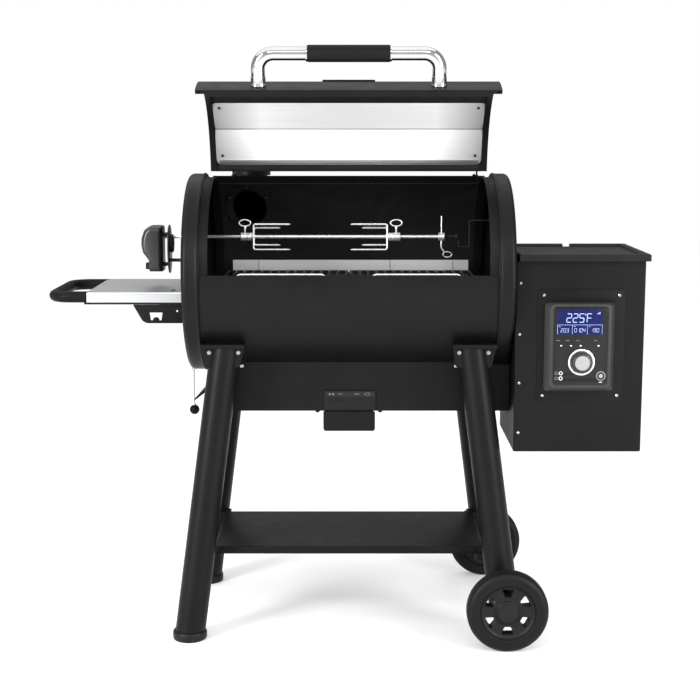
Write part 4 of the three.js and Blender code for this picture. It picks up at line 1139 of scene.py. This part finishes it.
def make_thumbscrew(name, x):
    threads = [(0, 5.8)] + thread(2.3, 2.8, 6, 16) + [(3.4, 19), (3.4, 27), (2.6, 29), (0, 29)]
    piece(f"{name}_shank", lathe("z", threads, (x, 0, SPIT_Z), 28), "zinc", name, replaces=[name])
    piece(f"{name}_loop", wire_ring((x, SPIT_Z + 37.5), 15.7, 8.7, 1.9), "zinc", name)


def make_spit_support():
    strap = [(299, 1050), (299, 1032), (331, 1032), (331, 1104), (429.4, 1104)]
    piece("spit_strap", sheet("y", strap, 2.2, -11, 11, 2.6), "dark_steel",
          replaces=["spit_support"], edge=0.5)
    heads("spit_strap_bolt", [(331 - 0.2, 0, 1090)], (-1, 0, 0), "dark_steel", radius=4, height=2.6)


def make_motor():
    shape = [(-507, 966), (-507, 1091), (-542, 1091), (-558, 1080), (-565.5, 1058), (-567, 1040),
             (-563.5, 1019), (-549, 1001), (-546, 995), (-546, 966)]
    radii = [5, 8, 16, 20, 24, 30, 24, 16, 6, 4]
    loop = flat(shape, radii, 7)
    front = [(-42, 13), (-41.2, 9.6), (-39.4, 6.4), (-36.4, 3.8), (-32, 1.8), (-26, 0.6), (-18, 0),
             (-1, 0)]
    levels = front + [(0, 0.8)] + [(-y, by) for y, by in reversed(front)]
    centre = (-537, 1028)

    def shrunk(by):
        return [(centre[0] + (a - centre[0]) * (1 - by / 30),
                 centre[1] + (b - centre[1]) * (1 - by / 62)) for a, b in loop]

    body = loft("y", [shrunk(by) for _, by in levels], [y for y, _ in levels])
    cutters = [box(-560, -538.5, -10, 10, 969, 991),
               cylinder((-520, 0, SPIT_Z), (-500, 0, SPIT_Z), 6, 32)]
    piece("motor_case", body, "resin_smooth", replaces=["motor_housing"], cutters=cutters, angle=32)
    rocker = loft("y", [outline(-558, -541, 971, 989, 2.4)] * 2, [-8, 8])
    piece("rocker_switch", rocker, "resin", "motor_switch", replaces=["motor_switch"], edge=0.9)
    oval = [(p[0], p[1]) for p in ellipse((0, 1026.5), 42, 66.5, 96)]
    hole = ellipse((0, SPIT_Z), 6.5, 6.5, 40)
    piece("motor_plate", plate("x", [oval, hole], -494, -490, 1.2), "resin_smooth",
          replaces=["motor_mount"])
    boss = lathe("x", [(0, -491), (25, -491), (25, -483.4), (23.4, -481.4), (20, -481), (0, -481)],
                 (0, 0, 1042), 72)
    piece("motor_plate_boss", boss, "resin",
          cutters=[cylinder((-500, 0, SPIT_Z), (-470, 0, SPIT_Z), 6.5, 40)], angle=32)
    profile = [(0, -506.6), (6, -506.6), (6, -503), (5, -502), (5, -499), (6, -498), (6, -493),
               (0, -493)]
    posts = [lathe("x", profile, (0, y, z), 40) for y, z in ((-18, 1068), (0, 985))]
    piece("motor_posts", join(*posts), "resin")
    stay = lathe("x", [(0, -491), (4.7, -491), (4.7, -434), (0, -434)], (0, -14, 997), 32)
    piece("motor_stay", stay, "resin")
    nut = lathe("x", [(0, -440), (8, -440), (9, -439), (9, -433.4), (0, -433.4)], (0, -14, 997), 6)
    piece("motor_stay_nut", nut, "resin")


# ---------- side shelf ----------

def make_side_shelf():
    x0, x1, half, top, drop = -694, -433.4, 170, 926, 26.7
    inset = 1.5
    rows = [(inset, 3, top - inset), (inset, 3, top - drop + 0.4), (0, 5, top - drop + 0.2),
            (0, 5, top - 4.2), (0.5, 5, top - 2.2), (1.8, 5, top - 0.6), (3.8, 5, top)]
    loops = [outline(x0 + less, x1 - less, -half + less, half - less, radius)
             for less, radius, _ in rows]
    shelf = loft("z", loops, [z for _, _, z in rows])
    slot = prism("z", outline(-475, -462, -132, -98, 3), 900, 940)
    piece("shelf_top", shelf, "stainless_shelf", replaces=["side_shelf_top"], cutters=[slot],
          angle=40)
    line = outline(x0 - 0.2, x1 + 0.2, -half - 0.2, half + 0.2, 5)
    low = outline(x0 - 0.1, x1 + 0.1, -half - 0.1, half + 0.1, 5)
    piece("shelf_hem", loft("z", [low, line, line, low],
                            [top - drop, top - drop + 0.8, top - drop + 4.4, top - drop + 5]),
          "stainless_shelf", cutters=[box(x0 + 2, x1 - 2, -half + 2, half - 2, 880, 940)], angle=40)
    high = top - drop - 0.4
    low = high - 5.4
    rail = plate("z", [outline(x0 + 2, x1, -169, 169, 4), outline(x0 + 22, x1 - 20, -149, 149, 4)],
                 low, high, 0.8)
    piece("shelf_frame", rail, "resin", replaces=["side_shelf_frame"])
    for side, name in ENDS:
        y0, y1 = pair(169, 141, side)
        piece(f"shelf_frame_end_{name}", box(x0 - 6, x0 + 12, y0, y1, low, high), "resin", edge=1.6,
              steps=3)
    start = x0 + 8
    route = rounded([(start, -154, 912), (-788, -154, 912), (-788, 154, 912), (start, 154, 912)],
                    55, 20)
    piece("towel_bar", sweep(route, 15, 48), "resin_matt")
    make_shelf_brackets()


def make_shelf_brackets():
    high, low = 926 - 26.7 - 6.2, 843.5
    loop = flat([(-571, high), (-543, low), (-433.8, low), (-433.8, high)], [2, 22, 1.5, 1.5], 10)
    opener = [(-527, 872), (-493, 872), (-496, 852)]
    opener += [(-510 + 9 * math.cos(math.radians(a)), 851 + 9 * math.sin(math.radians(a)))
               for a in range(0, 181, 12)]
    opener += [(-524, 852)]
    hole = ellipse((-454, 876), 2.6, 2.6, 32)
    for side, name in ENDS:
        y0, y1 = pair(166, 169, side)
        piece(f"shelf_gusset_{name}", plate("y", [loop, opener, hole], y0, y1, 0.6), "paint",
              replaces=[f"shelf_bracket_{name}"], angle=40)


# ---------- hopper ----------

def make_hopper():
    x0, x1, y0, y1, z0, z1 = 433.6, 770, -233, 103, 510, 1014
    levels = [(3, z0), (1.0, z0 + 0.8), (0, z0 + 3), (0, z1)]
    loops = [outline(x0 + s, x1 - s, y0 + s, y1 - s, 5) for s, _ in levels]
    cutters = [box(x0 + 2, x1 - 2, y0 + 2, y1 - 2, z0 + 2, z1 + 20),
               cylinder((430, 0, 660), (440, 0, 660), 32, 48)]
    piece("hopper_box", loft("z", loops, [z for _, z in levels]), "paint",
          replaces=["hopper_casing"], cutters=cutters, angle=40)
    heads("hopper_column_screws", [(446, y0, z) for z in (957, 823, 695, 562)], (0, -1, 0),
          radius=4.2, height=3)
    heads("hopper_right_screws", [(x1, y, z) for y in (-200, 70) for z in (957, 562)], (1, 0, 0),
          radius=4.2, height=3)
    heads("hopper_back_screws", [(x, y1, z) for x in (460, 745) for z in (957, 760, 562)],
          (0, 1, 0), radius=4.2, height=3)
    bumps = [(x, y, z0) for x in (534, 699) for y in (-205, 70)]
    heads("hopper_bumps", bumps, (0, 0, -1), "paint", radius=6, height=5)
    funnel = loft("z", [outline(562, 638, -22, 22, 6), outline(445, 762, -188, 96, 10),
                        outline(446.6, 760.4, -186.4, 94.4, 10),
                        outline(563.6, 636.4, -20.4, 20.4, 6)], [691.5, 1008, 1008, 691.5],
                  caps=False)
    piece("bin_funnel", funnel, "steel", replaces=["pellet_bin"], angle=30)
    slots = [box(480, 560, 101, 106, z, z + 4) for z in (600, 612, 624, 636)]
    piece("hopper_back_vents", join(*slots), "soot", edge=0.4)
    make_hopper_lid()


def make_hopper_lid():
    x0, x1, y0, y1, top, lip = 440, 780, -249, 108, 1033, 18
    rows = [(2, top - 10, 3), (2, top - lip, 3), (0, top - lip, 5), (0, top - 4, 5),
            (0.8, top - 1.6, 5), (2.4, top - 0.3, 5), (4, top, 5), (18, top, 5), (20, top - 0.8, 5),
            (21.2, top - 5.4, 5), (23.4, top - 7.5, 5)]
    loops = [outline(x0 + s, x1 - s, y0 + s, y1 - s, r) for s, _, r in rows]
    notch = box(600.5, 621.5, y1 - 12, y1 + 4, top - lip - 4, top + 4)
    sill = box(600.5, 621.5, y1 - 24, y1 - 11, top - 7.6, top + 4)
    piece("hopper_cover", loft("z", loops, [z for _, z, _ in rows]), "paint_soft", "hopper_lid",
          replaces=["hopper_lid"], cutters=[notch, sill], angle=40)
    knuckles = [lathe("x", [(0, x), (4.4, x), (5, x + 0.8), (5, x + 45.2), (4.4, x + 46),
                            (0, x + 46)], (0, y1 - 2, 1012), 32) for x in (478, 696)]
    piece("hopper_hinges", join(*knuckles), "dark_steel")


# ---------- controller ----------

FACE_Y = -262.1
JACK_Z = (725.5, 712)


def segments(text, x, z, height, depth=0.5, slant=0.06, weight=0.07):
    """Seven-segment digits on the screen's face, centred on x."""
    lit = {"0": "abcdef", "1": "bc", "2": "abged", "3": "abgcd", "4": "fgbc", "5": "afgcd",
           "6": "afgedc", "7": "abc", "8": "abcdefg", "9": "abcdfg", "F": "aefg"}
    width, gap, t = height * 0.52, height * 0.22, height * weight
    total = len(text) * width + (len(text) - 1) * gap
    shapes = []
    for i, digit in enumerate(text):
        left, right = x - total / 2 + i * (width + gap), x - total / 2 + i * (width + gap) + width
        low, mid, high = z - height / 2, z, z + height / 2
        lines = {"a": ((left, high), (right, high)), "b": ((right, high), (right, mid)),
                 "c": ((right, mid), (right, low)),
                 "d": ((left, low), (right, low)), "e": ((left, mid), (left, low)),
                 "f": ((left, high), (left, mid)), "g": ((left, mid), (right, mid))}
        for letter in lit[digit]:
            (ax, az), (bx, bz) = lines[letter]
            a, b = Vector((ax, az)), Vector((bx, bz))
            along = (b - a).normalized()
            side = Vector((-along.y, along.x)) * (t / 2)
            a, b = a + along * t * 0.35, b - along * t * 0.35
            hexagon = [a, a + along * t * 0.4 + side, b - along * t * 0.4 + side, b,
                       b - along * t * 0.4 - side, a + along * t * 0.4 - side]
            shapes.append(prism("y", [(p.x + (p.y - z) * slant, p.y) for p in hexagon], -depth, 0))
    return moved(join(*shapes), Matrix.Translation((0, FACE_Y - 2.7, 0)))


def flat_box(x, z, width, height, depth=0.5, y=FACE_Y - 1.0):
    return box(x - width / 2, x + width / 2, y - depth, y, z - height / 2, z + height / 2)


def ring_on_face(x, z, inner, outer, height, y=FACE_Y - 0.8):
    rim = (outer - inner) * 0.25
    return lathe("y", [(inner, y), (inner, y - height + rim), (inner + rim, y - height),
                       (outer - rim, y - height),
                       (outer, y - height + rim), (outer, y)], (x, 0, z), 96)


def make_controller():
    plate_loop = outline(604.5 - 113, 604.5 + 113, 794 - 147.5, 794 + 147.5, 5)
    piece("control_back_plate", plate("y", [plate_loop], -235.7, -233.3, 0.9), "paint",
          replaces=["control_plate"])
    heads("control_plate_screws", [(x, -235.7, z) for x in (507, 702) for z in (926, 662)],
          (0, -1, 0), radius=4.4, height=3.2)
    wide, tall = (509, 690), (674, 907.5)
    slim, short = (522, 678), (687, 904)
    loops = [outline(*wide, *tall, 10, 10), outline(*wide, *tall, 10, 10),
             outline(slim[0] - 1, slim[1] + 1, short[0] - 1, short[1] + 1, 12, 10),
             outline(slim[0] + 1, slim[1] - 1, short[0] + 1, short[1] - 1, 12, 10)]
    jacks = [cylinder((550, FACE_Y - 4, z), (550, FACE_Y + 8, z), 3.4, 32) for z in JACK_Z]
    holes = jacks + [cylinder((654, FACE_Y - 4, 718.5), (654, FACE_Y + 6, 718.5), 10.2, 48)]
    # a thin dark strip over the bezel's top: painted shadow of the tilted bezel under its hood
    hood_shadow = [(509, 907), (690, 907), (697, 917.5), (507, 917.5)]
    piece("controller_hood_painted_shadow", plate("y", [hood_shadow], -236.3, -235.2, 0.3), "resin_matt")
    piece("controller_bezel", loft("y", loops, [-236.1, -239.5, FACE_Y + 1.2, FACE_Y]), "bezel",
          replaces=["controller_body"], cutters=holes, angle=30)
    panel = outline(529, 671, 694, 900, 9, 10)
    cuts = [ellipse((550, z), 3.4, 3.4, 32)
            for z in JACK_Z] + [ellipse((654, 718.5), 10.2, 10.2, 48)]
    piece("controller_panel", plate("y", [panel] + cuts, FACE_Y - 1.0, FACE_Y + 0.2, 0.3), "face")
    x, z = 596.5, 859.5
    lcd = outline(x - 59, x + 59, z - 32.5, z + 32.5, 3)
    piece("lcd_window", plate("y", [lcd], FACE_Y - 2.1, FACE_Y - 0.4, 0.4), "lcd",
          replaces=["lcd_screen"])
    frame_loop = [outline(x - 61.5, x + 61.5, z - 35, z + 35, 4),
                  outline(x - 58.6, x + 58.6, z - 32.1, z + 32.1, 3)]
    piece("lcd_surround", plate("y", frame_loop, FACE_Y - 2.5, FACE_Y - 0.6, 0.5), "face")
    make_display()
    make_knob()


def make_display():
    x, z = 596.5, 859.5
    y = FACE_Y - 2.1
    readings = [segments("225", x - 12, z + 11, 22), segments("F", x + 24, z + 11, 22),
                segments("203", x - 39, z - 21, 10),
                segments("0104", x, z - 21, 10), segments("190", x + 39, z - 21, 10)]
    lines = [flat_box(x, z - 7, 116, 0.6, 0.4, y)]
    lines += [flat_box(x + dx, z - 19.5, 0.6, 24, 0.4, y) for dx in (-57.6, -19.5, 19.5, 57.6)]
    degree = moved(lathe("y", [(1.2, 0), (1.2, -0.4), (2.1, -0.4), (2.1, 0)], (0, 0, 0), 32),
                   Matrix.Translation((x + 14, y, z + 20)))
    signal = [flat_box(x + 45 + k * 2.8, z + 22 + k * 0.8, 1.5, 1.8 + k * 1.6, 0.4, y)
              for k in range(3)]
    icons = [flat_box(x + dx, z - 11, 4, 1, 0.4, y) for dx in (-52, -14, 25)]
    piece("lcd_reading", join(*readings, *lines, degree, *signal, *icons), "digits")
    white = [flat_box(px, 798, w, 3)
             for px, w in ((549.5, 4.4), (575, 4.8), (600, 4.8), (646, 4.8))]
    jack_marks = [flat_box(654, 702, 7, 1.6)]
    piece("panel_marks", join(*white, *jack_marks), "marks")
    faint = [flat_box(px, 811.5, 9, 1.6) for px in (541.5, 565.5, 592, 638)]
    piece("panel_faint_marks", join(*faint), "grey_marks")
    piece("jack_rings", join(*[ring_on_face(550, jz, 3.2, 5, 0.9) for jz in JACK_Z]), "marks")
    piece("jack_lamps", join(*[ring_on_face(538.5, jz, 2.6, 4.6, 0.7) for jz in JACK_Z]),
          "grey_marks")


def make_knob():
    x, z = 602.5, 755
    y = FACE_Y - 0.4
    ring = [(27.6, y), (33.6, y - 0.6), (34.5, y - 2.2), (34.2, y - 4.2), (31.5, y - 5.4),
            (28.4, y - 4.6), (27.6, y - 3)]
    piece("knob_bezel", lathe("y", ring, (x, 0, z), 144), "zinc")
    body = [(0, y - 0.6), (26.8, y - 0.6), (27.5, y - 2), (27, y - 15), (25.6, y - 19.4),
            (23, y - 21.4), (20.6, y - 22), (20, y - 21.2), (0, y - 21.2)]
    piece("knob_body", lathe("y", body, (x, 0, z), 144), "resin_smooth", "control_knob",
          replaces=["control_knob"])
    face = [(0, y - 20.6), (0, y - 22.4), (14, y - 22.3), (18.2, y - 22), (19.2, y - 21.4),
            (19.4, y - 20.6)]
    piece("knob_disc", lathe("y", face, (x, 0, z), 96), "knob_face", "control_knob")
    bx, bz = 654, 718.5
    piece("button_ring", ring_on_face(bx, bz, 10, 12.2, 1.4), "knob_face")
    cap = [(0, FACE_Y - 2.4), (6, FACE_Y - 2.6), (8.4, FACE_Y - 2.9), (9.3, FACE_Y - 2.4),
           (9.5, FACE_Y - 1), (9.5, FACE_Y + 3.5), (0, FACE_Y + 3.5)]
    piece("power_cap", lathe("y", cap, (bx, 0, bz), 72), "face", "power_button",
          replaces=["power_button"])
    mark = lathe("y", [(0, FACE_Y - 2.4), (0, FACE_Y - 3), (5, FACE_Y - 3), (5.6, FACE_Y - 2.5)],
                 (bx, 0, bz), 40)
    piece("power_mark", mark, "knob_face", "power_button")


# ---------- plug on its chain ----------

def make_chain():
    x, top, bottom = CHAIN_X, 688.5, 577
    beads = []
    z = top
    while z > bottom + 16:
        beads.append(ball(x, z, 2.2, 10, 16))
        z -= 5.0
    beads.append(sweep([(x, 0, top), (x, 0, bottom + 10)], 0.9, 10))
    piece("bead_chain", join(*beads), "steel", "plug_chain", replaces=["plug_chain"])
    piece("chain_ball", ball(x, bottom, 13.5, 24, 64), "resin_matt", "plug_chain")
    seam = lathe("z", [(13.2, bottom - 0.6), (13.8, bottom), (13.2, bottom + 0.6), (12.4, bottom)],
                 (x, 0, 0), 64)
    piece("chain_ball_seam", seam, "resin", "plug_chain")
    cup = [(0, bottom + 16), (3.2, bottom + 16), (3.8, bottom + 14.6), (4.2, bottom + 12),
           (0, bottom + 12)]
    piece("chain_cup", lathe("z", cup, (x, 0, 0), 32), "steel", "plug_chain")


def finish_hidden_nodes():
    finishes = {"fire_pot": "steel", "igniter_rod": "steel", "auger_tube": "steel",
                "auger_screw": "steel",
                "auger_gearmotor": "steel", "fan_housing": "resin", "fan_impeller": "resin"}
    for node, finish in finishes.items():
        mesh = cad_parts[node].data
        mesh.materials.clear()
        mesh.materials.append(MATERIALS[finish])


set_camera()
set_studio()
make_shell()
make_caps()
make_flue()
make_diffuser()
make_grates()
make_lid()
make_legs()
make_rack()
make_wheels()
make_housing()
make_ash_box()
make_spit()
make_fork("fork_left", (-296, -258), 1, -160, -188)
make_fork("fork_right", (102, 141), -1, 5, 36)
make_thumbscrew("thumbscrew_left", -285)
make_thumbscrew("thumbscrew_right", 130)
make_spit_support()
make_motor()
make_side_shelf()
make_hopper()
make_controller()
make_chain()
finish_hidden_nodes()
